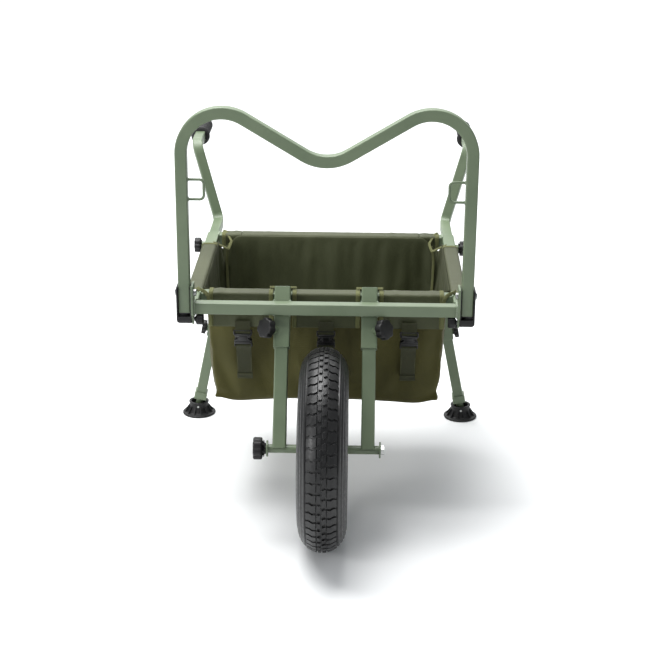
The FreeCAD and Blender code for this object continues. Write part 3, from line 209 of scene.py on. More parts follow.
sage_paint = powder_coat("sage_paint", (0.108, 0.146, 0.085), (0.136, 0.176, 0.106), (0.30, 0.36, 0.26))
coat(sage_paint, "side_rail_left", "side_rail_right", "front_rail", "rear_rail", "front_crossbar",
     "hinge_plates", "fork_sleeve_left", "fork_sleeve_right", "leg_sleeve_left", "leg_sleeve_right",
     "clamp_bosses", "hoop_bar", "cargo_loops", "fork_leg_left", "fork_leg_right", "axle_bushes",
     "handle_tube_left", "handle_tube_right", "leg_tube_left", "leg_tube_right")

# ---------------------------------------------------------------- weld beads
# Each joint of the welded frame has a small rippled bead, laid by hand and coated over. The
# beads are short rows of overlapping drops in the corner between two tubes.

SIDES = (("left", -1), ("right", 1))
weld_spacing = 0.0019
weld_paint = powder_coat("weld_paint", (0.16, 0.21, 0.13), (0.21, 0.26, 0.18), (0.38, 0.43, 0.34))


def add_weld(beads, start, end, size=0.0022):
    """A row of overlapping drops between two points."""
    start, end = Vector(start), Vector(end)
    count = max(2, round((end - start).length / weld_spacing))
    for index in range(count + 1):
        spot = start.lerp(end, index / count)
        wander = Vector([noise.noise(spot * 900 + Vector((0, 0, 40 * k))) for k in range(3)]) * size * 0.16
        swell = 1 + 0.22 * noise.noise(spot * 700)
        bmesh.ops.create_uvsphere(beads, u_segments=8, v_segments=5, radius=size * swell,
                                  matrix=Matrix.Translation(spot + wander))


def add_weld_ring(beads, corners, size=0.0022):
    """Beads round a closed outline."""
    for start, end in zip(corners, corners[1:] + corners[:1]):
        add_weld(beads, start, end, size)


def fixed_order(parts, key):
    """Sorts a shape's vertices, edges or faces, so that each run numbers them alike."""
    ranks = {part: rank for rank, part in enumerate(sorted(parts, key=key))}
    parts.sort(key=ranks.get)
    parts.index_update()


def as_piece(shape, name, body, slot, *finishes, smooth=35):
    """Makes a mesh of a bmesh, its parts in a fixed order, with its finishes, on a body."""
    bmesh.ops.remove_doubles(shape, verts=shape.verts, dist=1e-6)
    fixed_order(shape.verts, lambda vert: tuple(round(value, 6) for value in vert.co))
    for parts in (shape.edges, shape.faces):
        fixed_order(parts, lambda part: sorted(vert.index for vert in part.verts))
    mesh = bpy.data.meshes.new(name)
    shape.to_mesh(mesh)
    shape.free()
    for finish in finishes:
        mesh.materials.append(finish)
    mesh.polygons.foreach_set("use_smooth", [True] * len(mesh.polygons))
    mesh.set_sharp_from_angle(angle=math.radians(smooth))
    piece = bpy.data.objects.new(name, mesh)
    bpy.context.scene.collection.objects.link(piece)
    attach(piece, body)
    return piece


crossbar_low, crossbar_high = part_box("front_crossbar")
beads = bmesh.new()
for side, sign in SIDES:
    end = sign * (crossbar_high.x - 0.0006)
    add_weld_ring(beads, [Vector((end, y, z)) for y, z in (
        (crossbar_low.y, crossbar_low.z), (crossbar_high.y, crossbar_low.z),
        (crossbar_high.y, crossbar_high.z), (crossbar_low.y, crossbar_high.z))], 0.0026)
    sleeve_low, sleeve_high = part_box(f"fork_sleeve_{side}")
    for x in (sleeve_low.x, sleeve_high.x):
        add_weld(beads, (x, crossbar_low.y + 0.004, crossbar_low.z), (x, crossbar_high.y, crossbar_low.z))
        add_weld(beads, (x, crossbar_high.y, crossbar_low.z + 0.004), (x, crossbar_high.y, crossbar_high.z))
    for rail in ("front_rail", "rear_rail"):
        low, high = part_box(rail)
        inner = sign * high.x
        for z in (low.z, high.z):
            add_weld(beads, (inner, low.y + 0.002, z), (inner, high.y - 0.002, z))
    leg_low, leg_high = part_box(f"leg_sleeve_{side}")
    inner = sign * min(abs(leg_low.x), abs(leg_high.x))
    for across in (0.0, 0.0275):
        top = Vector((inner + sign * across, leg_low.y - 0.0006, leg_high.z - 0.003))
        add_weld(beads, top, top + Vector((sign * 0.0028, 0, -0.0125)))
as_piece(beads, "weld_beads", "frame", "frame_paint", weld_paint, smooth=80)

beads = bmesh.new()
for side, sign in SIDES:
    loop_face = sign * 0.2522
    for z in (0.6375, 0.6745):
        ring = [Vector((loop_face, -0.256 + 0.003 * math.cos(a), z + 0.003 * math.sin(a)))
                for a in (math.tau * k / 8 for k in range(8))]
        add_weld_ring(beads, ring, 0.0015)
as_piece(beads, "hoop_beads", "hoop", "frame_paint", weld_paint, smooth=80)

# ---------------------------------------------------------------- plastic and bright fasteners
# Black moulded plastic channels hold the hoop's legs. Bolts, washers, pins and bearings are
# bright zinc-plated steel, the bolt heads brushed by their own turning.


def moulded(name, colour, roughness, grain=450.0, depth=0.00008):
    """Moulded plastic with a fine spark-eroded texture and slightly dusty patches."""
    finish = new_finish(name, colour, roughness, Specular_IOR_Level=0.35)
    place = own_place(finish)
    soft, worn = rubbed_edges(finish, 0.0009)
    paler = tuple(min(1.0, c * 2.2 + 0.02) for c in colour)
    dusty = shades(finish, cloudy(finish, place, 14.0),
                   (0.4, colour), (0.75, tuple(c * 1.5 for c in colour)))
    wire_up(finish, Base_Color=mixed(finish, worn, dusty, paler),
            Normal=raised(finish, cloudy(finish, place, grain, 3.0), depth, soft))
    return finish


black_plastic = moulded("black_plastic", (0.004, 0.004, 0.004), 0.52)
coat(black_plastic, "hinge_channel_left", "hinge_channel_right", "hoop_end_plugs", "tyre_valve")


def plated(name, colour, roughness):
    """Zinc plate: metal with faint brushed streaks."""
    finish = new_finish(name, colour, roughness, Metallic=1.0)
    place = own_place(finish, scale=(1, 14, 14))
    soft, worn = rubbed_edges(finish, 0.0005)
    tone = shades(finish, cloudy(finish, place, 90.0), (0.3, tuple(c * 0.8 for c in colour)), (0.7, colour))
    wire_up(finish, Base_Color=mixed(finish, worn, tone, tuple(min(1, c * 1.25) for c in colour)),
            Normal=raised(finish, cloudy(finish, place, 260.0), 0.00003, soft))
    return finish


zinc = plated("zinc", (0.40, 0.41, 0.40), 0.36)
coat(sage_paint, "axle_washers")
coat(zinc, "hoop_pivot_bolts", "axle_bolt", "rim_bolts", "wheel_bearings",
     "bearing_spacer", "foot_pin_left", "foot_pin_right")

# ---------------------------------------------------------------- wheel rim
# Two pressed steel halves bolted together, with a satin black coat that shows small chips at
# the edges. The inner tube inside is plain black rubber.

rim_paint = powder_coat("rim_paint", (0.016, 0.017, 0.016), (0.024, 0.025, 0.024), (0.10, 0.10, 0.10))
coat(rim_paint, "rim_half_left", "rim_half_right")
butyl = moulded("butyl", (0.02, 0.02, 0.02), 0.55, 200.0)
coat(butyl, "inner_tube")

# ---------------------------------------------------------------- tyre
# A block-tread barrow tyre: a rubber casing with ribbed sidewalls, and 58 pitches of wide
# shoulder blocks with two rows of small staggered blocks down the middle.

axle = Vector((0, -0.361, 0.19))
ring_radius = 0.145
section_radius = 0.045
tread_depth = 0.0032
tread_half = 0.0315
pitches = 58


def tyre_point(across, turn, lift):
    """A point of the tyre: distance across the tread, turn round the axle, height over the casing."""
    lean = across / section_radius
    reach = section_radius - tread_depth + lift
    radius = ring_radius + reach * math.cos(lean)
    return axle + Vector((reach * math.sin(lean), -radius * math.cos(turn), radius * math.sin(turn)))


tyre_shape = bmesh.new()
outline = []
for step in range(-46, 47):
    across = step / 46 * 0.1035
    side = abs(across)
    lift = 0.0
    if side > tread_half + 0.001:
        lift = 0.0027 - 0.0011 * (math.cos((side - tread_half) * math.tau / 0.0085) > 0.55)
        lift += 0.0012 * (abs(side - 0.047) < 0.0016) + 0.0008 * (abs(side - 0.070) < 0.0016)
    outline.append(tyre_shape.verts.new(tyre_point(across, math.pi / 2, lift)))
for x in (0.033, 0.030, -0.030, -0.033):
    outline.append(tyre_shape.verts.new(axle + Vector((x, 0, 0.1082 if abs(x) > 0.032 else 0.111))))
edges = [tyre_shape.edges.new(pair) for pair in zip(outline, outline[1:] + outline[:1])]
bmesh.ops.spin(tyre_shape, geom=outline + edges, cent=axle, axis=(1, 0, 0), angle=math.tau,
               steps=116, use_merge=True, use_duplicate=False)
bmesh.ops.recalc_face_normals(tyre_shape, faces=tyre_shape.faces)


def add_block(shape, near, far, begin, end, wave, slant, columns=3):
    """One tread block; it spans part of a pitch, its slits wavy and slanted."""
    made = bmesh.ops.create_grid(shape, x_segments=columns, y_segments=1, size=0.5)["verts"]
    faces = list(dict.fromkeys(face for vert in made for face in vert.link_faces))
    raised_part = bmesh.ops.extrude_face_region(shape, geom=faces)["geom"]
    upper = {item for item in raised_part if isinstance(item, bmesh.types.BMVert)}
    for vert in set(made) | upper:
        share = vert.co.x + 0.5
        along = vert.co.y + 0.5
        is_top = vert in upper
        draw_in = 0.0004 if is_top else 0.0
        across = near + (far - near) * share
        across += draw_in * (1 - 2 * share)
        pitch = begin + (end - begin) * along + slant * (share - 0.5) + wave * math.sin(share * math.tau)
        pitch += (0.02 if is_top else 0.0) * (1 - 2 * along)
        lift = tread_depth if is_top else -0.0006
        vert.co = tyre_point(across, pitch * math.tau / pitches, lift)


for pitch in range(pitches):
    add_block(tyre_shape, -0.0298, -0.0092, pitch + 0.08, pitch + 0.88, 0.09, 0.10)
    add_block(tyre_shape, 0.0104, 0.0298, pitch + 0.58, pitch + 1.38, -0.09, -0.10)
    add_block(tyre_shape, -0.0078, -0.0008, pitch + 0.30, pitch + 0.90, 0.05, 0.06)
    add_block(tyre_shape, 0.0012, 0.0088, pitch + 0.84, pitch + 1.44, -0.05, 0.06)
bmesh.ops.recalc_face_normals(tyre_shape, faces=tyre_shape.faces)

tyre_rubber = new_finish("tyre_rubber", (0.012, 0.012, 0.012), 0.38, Specular_IOR_Level=0.42)
spot = own_place(tyre_rubber)
rubber_tone = shades(tyre_rubber, cloudy(tyre_rubber, spot, 30.0), (0.3, (0.004, 0.004, 0.004)),
                     (0.7, (0.009, 0.009, 0.009)))
scuffs = add_node(tyre_rubber, "MapRange", Value=cloudy(tyre_rubber, spot, 180.0, 6.0),
                  From_Min=0.35, From_Max=0.7, To_Min=0.30, To_Max=0.50)
soft, worn = rubbed_edges(tyre_rubber, 0.0006)
wire_up(tyre_rubber, Base_Color=mixed(tyre_rubber, worn, rubber_tone, (0.035, 0.035, 0.035)),
        Roughness=scuffs.outputs[0],
        Normal=raised(tyre_rubber, cloudy(tyre_rubber, spot, 600.0, 3.0), 0.0001, soft))
tyre = as_piece(tyre_shape, "tread_tyre", "wheel", "tyre_rubber", tyre_rubber)
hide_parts("tyre")

# ---------------------------------------------------------------- grips
# Soft black rubber sleeves pushed over the handles' ends, each with a flange in front, rings
# of ribs for the hand and a domed end.

grip_rubber = moulded("grip_rubber", (0.009, 0.009, 0.009), 0.62, 800.0)


def turned(shape, profile, centre, direction, steps=48):
    """Spins an outline of radius and distance pairs about a line."""
    direction = Vector(direction).normalized()
    out = direction.orthogonal().normalized()
    verts = [shape.verts.new(Vector(centre) + direction * far + out * radius) for radius, far in profile]
    edges = [shape.edges.new(pair) for pair in zip(verts, verts[1:])]
    bmesh.ops.spin(shape, geom=verts + edges, cent=centre, axis=direction, angle=math.tau,
                   steps=steps, use_merge=True, use_duplicate=False)
    bmesh.ops.remove_doubles(shape, verts=shape.verts, dist=1e-6)
    bmesh.ops.recalc_face_normals(shape, faces=shape.faces)


for side, sign in SIDES:
    low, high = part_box(f"grip_{side}")
    centre = Vector(((low.x + high.x) / 2, 0, (low.z + high.z) / 2))
    profile = [(0.0112, low.y), (0.0195, low.y), (0.021, low.y + 0.0015), (0.021, low.y + 0.0035),
               (0.0195, low.y + 0.005), (0.0165, low.y + 0.007)]
    rings = 15
    first, last = low.y + 0.012, high.y - 0.016
    for ring in range(rings):
        here = first + (last - first) * ring / (rings - 1)
        profile += [(0.0155, here - 0.0025), (0.0169, here - 0.0015), (0.0169, here + 0.0015),
                    (0.0155, here + 0.0025)]
    profile += [(0.0166, high.y - 0.011), (0.017, high.y - 0.006), (0.0158, high.y - 0.002),
                (0.013, high.y), (0.0, high.y)]
    shape = bmesh.new()
    turned(shape, profile, centre, (0, 1, 0))
    grip = as_piece(shape, f"ribbed_grip_{side}", f"handle_{side}", "grip_rubber", grip_rubber, smooth=50)
    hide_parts(f"grip_{side}")

# ---------------------------------------------------------------- mud feet
# Round black moulded feet: a wide flange, a cone and a collar open at the top, with stiffening
# ribs up the cone. A pin through the collar holds the leg's lug.

for side, sign in SIDES:
    low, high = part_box(f"foot_{side}")
    centre = Vector(((low.x + high.x) / 2, (low.y + high.y) / 2, 0))
    profile = [(0.0, 0.0), (0.0352, 0.0), (0.037, 0.0012), (0.037, 0.003), (0.0355, 0.0044),
               (0.029, 0.0052), (0.0265, 0.0065), (0.0232, 0.0125), (0.0217, 0.0145), (0.021, 0.0185),
               (0.021, 0.0268), (0.0224, 0.0274), (0.0224, 0.0294), (0.0216, 0.030), (0.0176, 0.030),
               (0.0168, 0.0292), (0.0168, 0.009), (0.0, 0.009)]
    shape = bmesh.new()
    turned(shape, profile, centre, (0, 0, 1), 64)
    for rib in range(12):
        turn = Matrix.Translation(centre) @ Matrix.Rotation(math.tau * (rib + 0.5) / 12, 4, "Z")
        made = bmesh.ops.create_cube(shape, size=1)["verts"]
        for vert in made:
            outer = vert.co.x > 0
            upper = vert.co.z > 0
            vert.co = turn @ Vector(((0.0335 if not upper else 0.0222) if outer else 0.0195,
                                     vert.co.y * 0.0018, 0.0205 if upper else 0.0042))
    foot = as_piece(shape, f"ribbed_foot_{side}", f"foot_{side}", "black_plastic", black_plastic, smooth=30)
    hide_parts(f"foot_{side}")

# ---------------------------------------------------------------- star knobs
# Black moulded knobs with seven rounded lobes, a dished face with a cap, and a tapered neck
# round a threaded steel stud.

lobes = 7
thread_crest, thread_root, thread_half_pitch = 0.00395, 0.0036, 0.000625
joint_of = {joint["child"]: joint for joint in frame["joints"]}


def star_knob(node, body, thickness, neck, neck_radius=0.0072, lobe_depth=0.13):
    """A star knob in the place of its CAD node, on the line of its joint."""
    joint = joint_of[body]
    base, out = Vector(joint["pos_m"]), Vector(joint["axis"]).normalized()
    places = [vert.co - base for vert in frame["nodes"][node].data.vertices]
    top = max(place.dot(out) for place in places)
    start = min(place.dot(out) for place in places)
    radius = max((place - out * place.dot(out)).length for place in places)
    turn = (Matrix.Translation(base + out * (top - thickness))
            @ out.to_track_quat("Z", "Y").to_matrix().to_4x4())
    shape = bmesh.new()
    rim = bmesh.ops.create_circle(shape, cap_ends=True, segments=lobes * 12, radius=radius)["verts"]
    for vert in rim:
        angle = math.atan2(vert.co.y, vert.co.x)
        wave = 0.5 + 0.5 * math.cos(angle * lobes)
        vert.co *= 1 - lobe_depth * (1 - wave ** 0.6)
    floor = rim[0].link_faces[0]
    if floor.normal.z > 0:
        floor.normal_flip()
    made = bmesh.ops.extrude_face_region(shape, geom=[floor])["geom"]
    upper = [item for item in made if isinstance(item, bmesh.types.BMVert)]
    bmesh.ops.translate(shape, verts=upper, vec=(0, 0, thickness))
    shape.normal_update()
    caps = [face for face in shape.faces if abs(face.normal.z) > 0.9]
    rims = list(dict.fromkeys(edge for face in caps for edge in face.edges))
    bmesh.ops.bevel(shape, geom=rims, offset=thickness * 0.16, affect="EDGES", segments=3,
                    profile=0.5, material=-1)
    shape.normal_update()
    lid = max((face for face in shape.faces if face.normal.z > 0.9), key=lambda face: face.calc_area())
    bmesh.ops.inset_region(shape, faces=[lid], thickness=radius * 0.2, depth=0)
    bmesh.ops.inset_region(shape, faces=[lid], thickness=radius * 0.05, depth=-thickness * 0.12)
    bmesh.ops.inset_region(shape, faces=[lid], thickness=radius * 0.16, depth=0)
    bmesh.ops.inset_region(shape, faces=[lid], thickness=radius * 0.06, depth=thickness * 0.09)
    turned(shape, [(0.0, -neck), (neck_radius * 0.92, -neck), (neck_radius, -neck + 0.0006),
                   (neck_radius * 1.18, 0.0006)], (0, 0, 0), (0, 0, 1), 32)
    shape.transform(turn)
    knob = as_piece(shape, f"moulded_{node}", body, "black_plastic", black_plastic, smooth=35)
    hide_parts(node)
    stud_length = top - thickness - neck - start
    if stud_length > 0.002:
        shape = bmesh.new()
        stud = [(0.0, start)]
        far, crest = start, True
        while far < top - thickness - neck + 0.001:
            stud.append((thread_crest if crest else thread_root, far))
            far, crest = far + thread_half_pitch, not crest
        turned(shape, stud, base, out, 24)
        as_piece(shape, f"stud_of_{node}", body, "zinc_steel", zinc, smooth=20)
    return knob


star_knob("axle_knob", "axle_knob", 0.017, 0.007, 0.010)
for side, sign in SIDES:
    star_knob(f"fork_knob_{side}", f"fork_knob_{side}", 0.015, 0.004)
    star_knob(f"handle_knob_{side}", f"handle_knob_{side}", 0.013, 0.0015)
    star_knob(f"leg_knob_{side}", f"leg_knob_{side}", 0.0095, 0.0015)
    star_knob(f"hoop_lock_knob_{side}", f"hoop_lock_{side}", 0.014, 0.001, 0.006, 0.06)

# ---------------------------------------------------------------- bag sack
# The sack is one lofted shell of olive woven polyester with a grey-green coating on its inner
# face. It hangs from the rails, so its walls ripple a little and its floor sags.

sack_top, sack_bottom = 0.4405, 0.2003
sack_thickness = 0.0012
sack_rows = 30


def woven(name, dark, light, thread, roughness, sheen, weave_depth):
    """Woven cloth: threads across each other at every facing, with soft patches of tone."""
    finish = new_finish(name, light, roughness,
                        Sheen_Weight=sheen, Sheen_Roughness=0.5, Specular_IOR_Level=0.25)
    place = own_place(finish)
    weave = None
    for axis in "XYZ":
        threads = add_node(finish, "TexWave", {"wave_type": "BANDS", "bands_direction": axis},
                           Vector=place, Scale=thread, Distortion=0.6, Detail=1.0).outputs["Fac"]
        weave = threads if weave is None else sums(finish, "ADD", weave, threads)
    tone = shades(finish, cloudy(finish, place, 7.0, 5.0), (0.3, dark), (0.7, light))
    fleck = add_node(finish, "MapRange", Value=weave, From_Min=0.6, From_Max=2.4,
                     To_Min=0.90, To_Max=1.0).outputs[0]
    grey = shades(finish, fleck, (0.0, (0, 0, 0)), (1.0, (1, 1, 1)))
    wire_up(finish, Base_Color=mixed(finish, 1.0, tone, grey, "MULTIPLY"),
            Normal=raised(finish, weave, weave_depth))
    return finish


olive_cloth = woven("olive_cloth", (0.058, 0.054, 0.012), (0.086, 0.080, 0.019),
                    330.0, 0.75, 0.06, 0.00016)
coated_cloth = woven("coated_cloth", (0.046, 0.052, 0.022), (0.068, 0.075, 0.035),
                     420.0, 0.50, 0.03, 0.00006)


def sack_point(share_x, share_y, height):
    """A point of the sack: shares of its width and depth, and of its height."""
    half = 0.2250 + 0.0110 * height
    front = -0.1475 - 0.0305 * height
    back = 0.1575 + 0.0225 * height
    x, y = share_x * 2 * half, (back - front) / 2 * share_y * 2
    corner = 0.009
    over = Vector((abs(x) - (half - corner), abs(y) - ((back - front) / 2 - corner)))
    if over.x > 0 and over.y > 0:
        over *= max(over) / over.length
        x = math.copysign(half - corner + over.x, x)
        y = math.copysign((back - front) / 2 - corner + over.y, y)
    z = sack_bottom + (sack_top - sack_bottom) * height
    y += (front + back) / 2
    off_corner = math.hypot(half - abs(x), back - y)
    z -= 0.030 * max(0.0, 1 - off_corner / 0.038) * height ** 3
    return Vector((x, y, z))


shape = bmesh.new()
bmesh.ops.create_grid(shape, x_segments=60, y_segments=44, size=0.5)
border = [edge for edge in shape.edges if edge.is_boundary]
for row in range(sack_rows):
    made = bmesh.ops.extrude_edge_only(shape, edges=border)["geom"]
    bmesh.ops.translate(shape, verts=[item for item in made if isinstance(item, bmesh.types.BMVert)],
                        vec=(0, 0, 1 / sack_rows))
    border = [item for item in made if isinstance(item, bmesh.types.BMEdge) and item.is_boundary]
for vert in shape.verts:
    height = min(1.0, vert.co.z)
    squeeze = 1 - 0.006 * (1 - height) ** 8
    vert.co = sack_point(vert.co.x * squeeze, vert.co.y * squeeze, height)
bmesh.ops.recalc_face_normals(shape, faces=shape.faces)
shape.normal_update()
for vert, normal in [(vert, vert.normal.copy()) for vert in shape.verts]:
    x, y, z = vert.co
    height = (z - sack_bottom) / (sack_top - sack_bottom)
    flat = min(1.0, 6 * height) * min(1.0, 5 * (1 - height)) if height < 1 else 0.0
    fold = noise.noise(Vector(((x + 0.8 * z) * 11, (y - 0.7 * z) * 11, (z - x) * 7)))
    fold = 1 - 2.2 * abs(fold) + 0.4 * noise.noise(Vector((x * 30, y * 30, z * 17)))
    vert.co -= normal * 0.0066 * fold * flat
sack = as_piece(shape, "bag_sack", "frame", "bag_fabric", olive_cloth, coated_cloth, smooth=180)
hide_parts("bag")


def hang_cloth(piece, held_above, slack, frames, cap):
    """Lets a cloth piece settle, its upper edge and sewn lower corners held, then keeps the result."""
    rest = [vert.co.copy() for vert in piece.data.vertices]
    group = piece.vertex_groups.new(name="held")
    for vert in piece.data.vertices:
        in_corner = abs(vert.co.x) > 0.205 and not -0.135 < vert.co.y < 0.145
        if vert.co.z > held_above or in_corner and vert.co.z < 0.206:
            group.add([vert.index], 1.0, "REPLACE")
    cloth = piece.modifiers.new("settling", "CLOTH")
    cloth.settings.vertex_group_mass = "held"
    cloth.settings.mass = 0.4
    cloth.settings.quality = 6
    cloth.settings.shrink_min = -slack
    cloth.settings.tension_stiffness = 25
    cloth.settings.compression_stiffness = 25
    cloth.settings.shear_stiffness = 10
    cloth.settings.bending_stiffness = 4
    cloth.settings.air_damping = 2
    cloth.collision_settings.use_collision = False
    cloth.point_cache.frame_end = frames
    for step in range(1, frames + 1):
        bpy.context.scene.frame_set(step)
    settled = piece.evaluated_get(bpy.context.evaluated_depsgraph_get()).data
    places = [vert.co.copy() for vert in settled.vertices]
    piece.modifiers.remove(cloth)
    piece.vertex_groups.remove(group)
    bpy.context.scene.frame_set(1)
    for vert, start, place in zip(piece.data.vertices, rest, places):
        move = place - start
        vert.co = start + (move * cap / move.length if move.length > cap else move)


hang_cloth(sack, sack_top - 0.010, 0.014, 22, 0.010)
wall = sack.modifiers.new("cloth_thickness", "SOLIDIFY")
wall.thickness = sack_thickness
wall.offset = -1
wall.material_offset = 1
wall.material_offset_rim = 1
smoother = sack.modifiers.new("smooth", "SUBSURF")
smoother.levels = smoother.render_levels = 1

# ---------------------------------------------------------------- rail wraps and front flap
# Sleeves of the coated cloth run over the four rails from the sack's top edge. The front one
# is cut away round the two fork sleeves and hangs on as a flap.


def over_rail(inner, outer, top, inner_low, outer_low, corner=0.005):
    """The outline of a wrap over a rail: up its inner side, over and down its outer side."""
    out = 1 if outer > inner else -1
    points = [(inner, inner_low + (top - corner - inner_low) * k / 5) for k in range(5)]
    for k in range(6):
        angle = math.pi / 2 * k / 5
        points.append((inner + out * corner * (1 - math.cos(angle)), top - corner * (1 - math.sin(angle))))
    width = outer - inner - 2 * out * corner
    points += [(inner + out * corner + width * k / 4, top) for k in range(1, 4)]
    for k in range(6):
        angle = math.pi / 2 * k / 5
        points.append((outer - out * corner * (1 - math.sin(angle)), top - corner * (1 - math.cos(angle))))
    points += [(outer, top - corner + (outer_low - top + corner) * k / 8) for k in range(1, 9)]
    return points


def add_wrap(shape, points, along, start, end, steps, ripple, lift=0.0):
    """Pulls an outline along a rail; ripple is how high its creases stand."""
    def place(across, height, far):
        return Vector((across, far, height)) if along == "Y" else Vector((far, across, height))
    verts = [shape.verts.new(place(*point, start)) for point in points]
    edges = [shape.edges.new(pair) for pair in zip(verts, verts[1:])]
    rows = [verts]
    for step in range(steps):
        made = bmesh.ops.extrude_edge_only(shape, edges=edges)["geom"]
        fresh = [item for item in made if isinstance(item, bmesh.types.BMVert)]
        shift = (0, (end - start) / steps, 0) if along == "Y" else ((end - start) / steps, 0, 0)
        bmesh.ops.translate(shape, verts=fresh, vec=shift)
        edges = [item for item in made if isinstance(item, bmesh.types.BMEdge)
                 and item.verts[0] in fresh and item.verts[1] in fresh]
        rows.append(fresh)
    middle = Vector((sum(p[0] for p in points) / len(points), 0, points[len(points) // 2][1] - 0.014))
    for row in rows:
        for vert in row:
            across = vert.co.x if along == "Y" else vert.co.y
            away = Vector((across - middle.x, vert.co.z - middle.z))
            if vert.co.z < middle.z:
                away.y = 0
            away.normalize()
            spot = vert.co.copy()
            far = spot.y if along == "Y" else spot.x
            crease = noise.noise(Vector((far * 42, spot.z * 9, 3.0))) ** 2 * 3.2
            crease += 0.5 + 0.5 * noise.noise(Vector((far * 15, spot.z * 16, 8.0)))
            rise = lift + ripple * crease
            if along == "Y":
                vert.co += Vector((away.x * rise, 0, away.y * rise))
            else:
                vert.co += Vector((0, away.x * rise, away.y * rise))


def cloth_sheet(shape, name, thickness=0.0012, *finishes):
    """Finishes a cloth sheet: a thickness and one smoothing step."""
    bmesh.ops.recalc_face_normals(shape, faces=shape.faces)
    piece = as_piece(shape, name, "frame", "bag_fabric", *finishes, smooth=180)
    thick = piece.modifiers.new("cloth_thickness", "SOLIDIFY")
    thick.thickness = thickness
    thick.offset = 0
    smooth_step = piece.modifiers.new("smooth", "SUBSURF")
    smooth_step.levels = smooth_step.render_levels = 1
    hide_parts("bag")
    return piece


wrap_top = 0.4420
side_outline = {}
for side, sign in SIDES:
    shape = bmesh.new()
    side_outline[side] = over_rail(sign * 0.2378, sign * 0.2662, wrap_top, 0.405, 0.409)
    add_wrap(shape, side_outline[side], "Y", -0.194, 0.112, 70, 0.0011)
    cloth_sheet(shape, f"side_wrap_{side}", 0.0012, coated_cloth)
shape = bmesh.new()
rear_outline = over_rail(0.1815, 0.2102, wrap_top, 0.404, 0.409)
add_wrap(shape, rear_outline, "X", -0.190, 0.190, 84, 0.0011)
for start, end in ((-0.230, -0.190), (0.190, 0.230)):
    add_wrap(shape, over_rail(0.1815, 0.2092, wrap_top, 0.416, 0.4340), "X", start, end, 9, 0.0011)
cloth_sheet(shape, "rear_wrap", 0.0012, coated_cloth)
front_outline = over_rail(-0.1795, -0.2084, wrap_top, 0.404, 0.3745)
for name, start, end in (("left", -0.222, -0.1025), ("centre", -0.0625, 0.0625),
                         ("right", 0.1025, 0.222)):
    shape = bmesh.new()
    add_wrap(shape, front_outline, "X", start, end, 30, 0.0011)
    cloth_sheet(shape, f"front_wrap_{name}", 0.0012, coated_cloth)

# ---------------------------------------------------------------- edge bindings
# Every cut edge is bound with lighter olive tape, folded over the edge and stitched through:
# down both sides of each cut-out, and round the bag's four corners.

tape = woven("binding_tape", (0.125, 0.132, 0.050), (0.185, 0.192, 0.078), 700.0, 0.85, 0.06, 0.0002)
tape_width = 0.0085


def add_tape(shape, points, along, start, lift=0.0016):
    """A band of tape along the end of a wrap."""
    add_wrap(shape, points, along, start - tape_width / 2, start + tape_width / 2, 3, 0.0004, lift)


shape = bmesh.new()
for edge in (-0.219, -0.1048, -0.0602, 0.0602, 0.1048, 0.219):
    add_tape(shape, front_outline, "X", edge)
for edge in (-0.228, 0.228):
    add_tape(shape, over_rail(0.1815, 0.2092, wrap_top, 0.416, 0.4340), "X", edge)
for side, sign in SIDES:
    for edge in (-0.191, 0.109):
        add_tape(shape, side_outline[side], "Y", edge)
    near, far = sorted((sign * 0.0565, sign * 0.1085))
    for y, z in ((-0.1765, 0.4425), (-0.1830, 0.4465)):
        add_wrap(shape, [(y, z), (y - 0.0030, z + 0.0022), (y - 0.0062, z + 0.0012)], "X", near, far, 16,
                 0.0012, 0.0)
bmesh.ops.recalc_face_normals(shape, faces=shape.faces)
cloth_sheet(shape, "edge_bindings", 0.0011, tape)


def add_ribbon(shape, points, facing, width):
    """A flat band that follows points, its face towards a direction."""
    facing = Vector(facing).normalized()
    ends, edge = [], None
    for index, point in enumerate(points):
        before, after = points[max(0, index - 1)], points[min(len(points) - 1, index + 1)]
        side = (Vector(after) - Vector(before)).cross(facing).normalized() * width / 2
        places = (Vector(point) - side, Vector(point) + side)
        if edge is None:
            ends = [shape.verts.new(place) for place in places]
            edge = shape.edges.new(ends)
            continue
        made = bmesh.ops.extrude_edge_only(shape, edges=[edge])["geom"]
        fresh = [item for item in made if isinstance(item, bmesh.types.BMVert)]
        ends = [next(near.other_vert(end) for near in end.link_edges if near.other_vert(end) in fresh)
                for end in ends]
        for end, place in zip(ends, places):
            end.co = place
        edge = shape.edges.get(ends)


def curve_points(corners, steps=8):
    """Points of a smooth line through corner points."""
    points = []
    corners = [Vector(corner) for corner in corners]
    ends = [corners[0]] + corners + [corners[-1]]
    for a, b, c, d in zip(ends, ends[1:], ends[2:], ends[3:]):
        for k in range(steps):
            t = k / steps
            points.append(0.5 * ((2 * b) + (c - a) * t + (2 * a - 5 * b + 4 * c - d) * t * t
                                 + (3 * b - a - 3 * c + d) * t ** 3))
    return points + [corners[-1]]


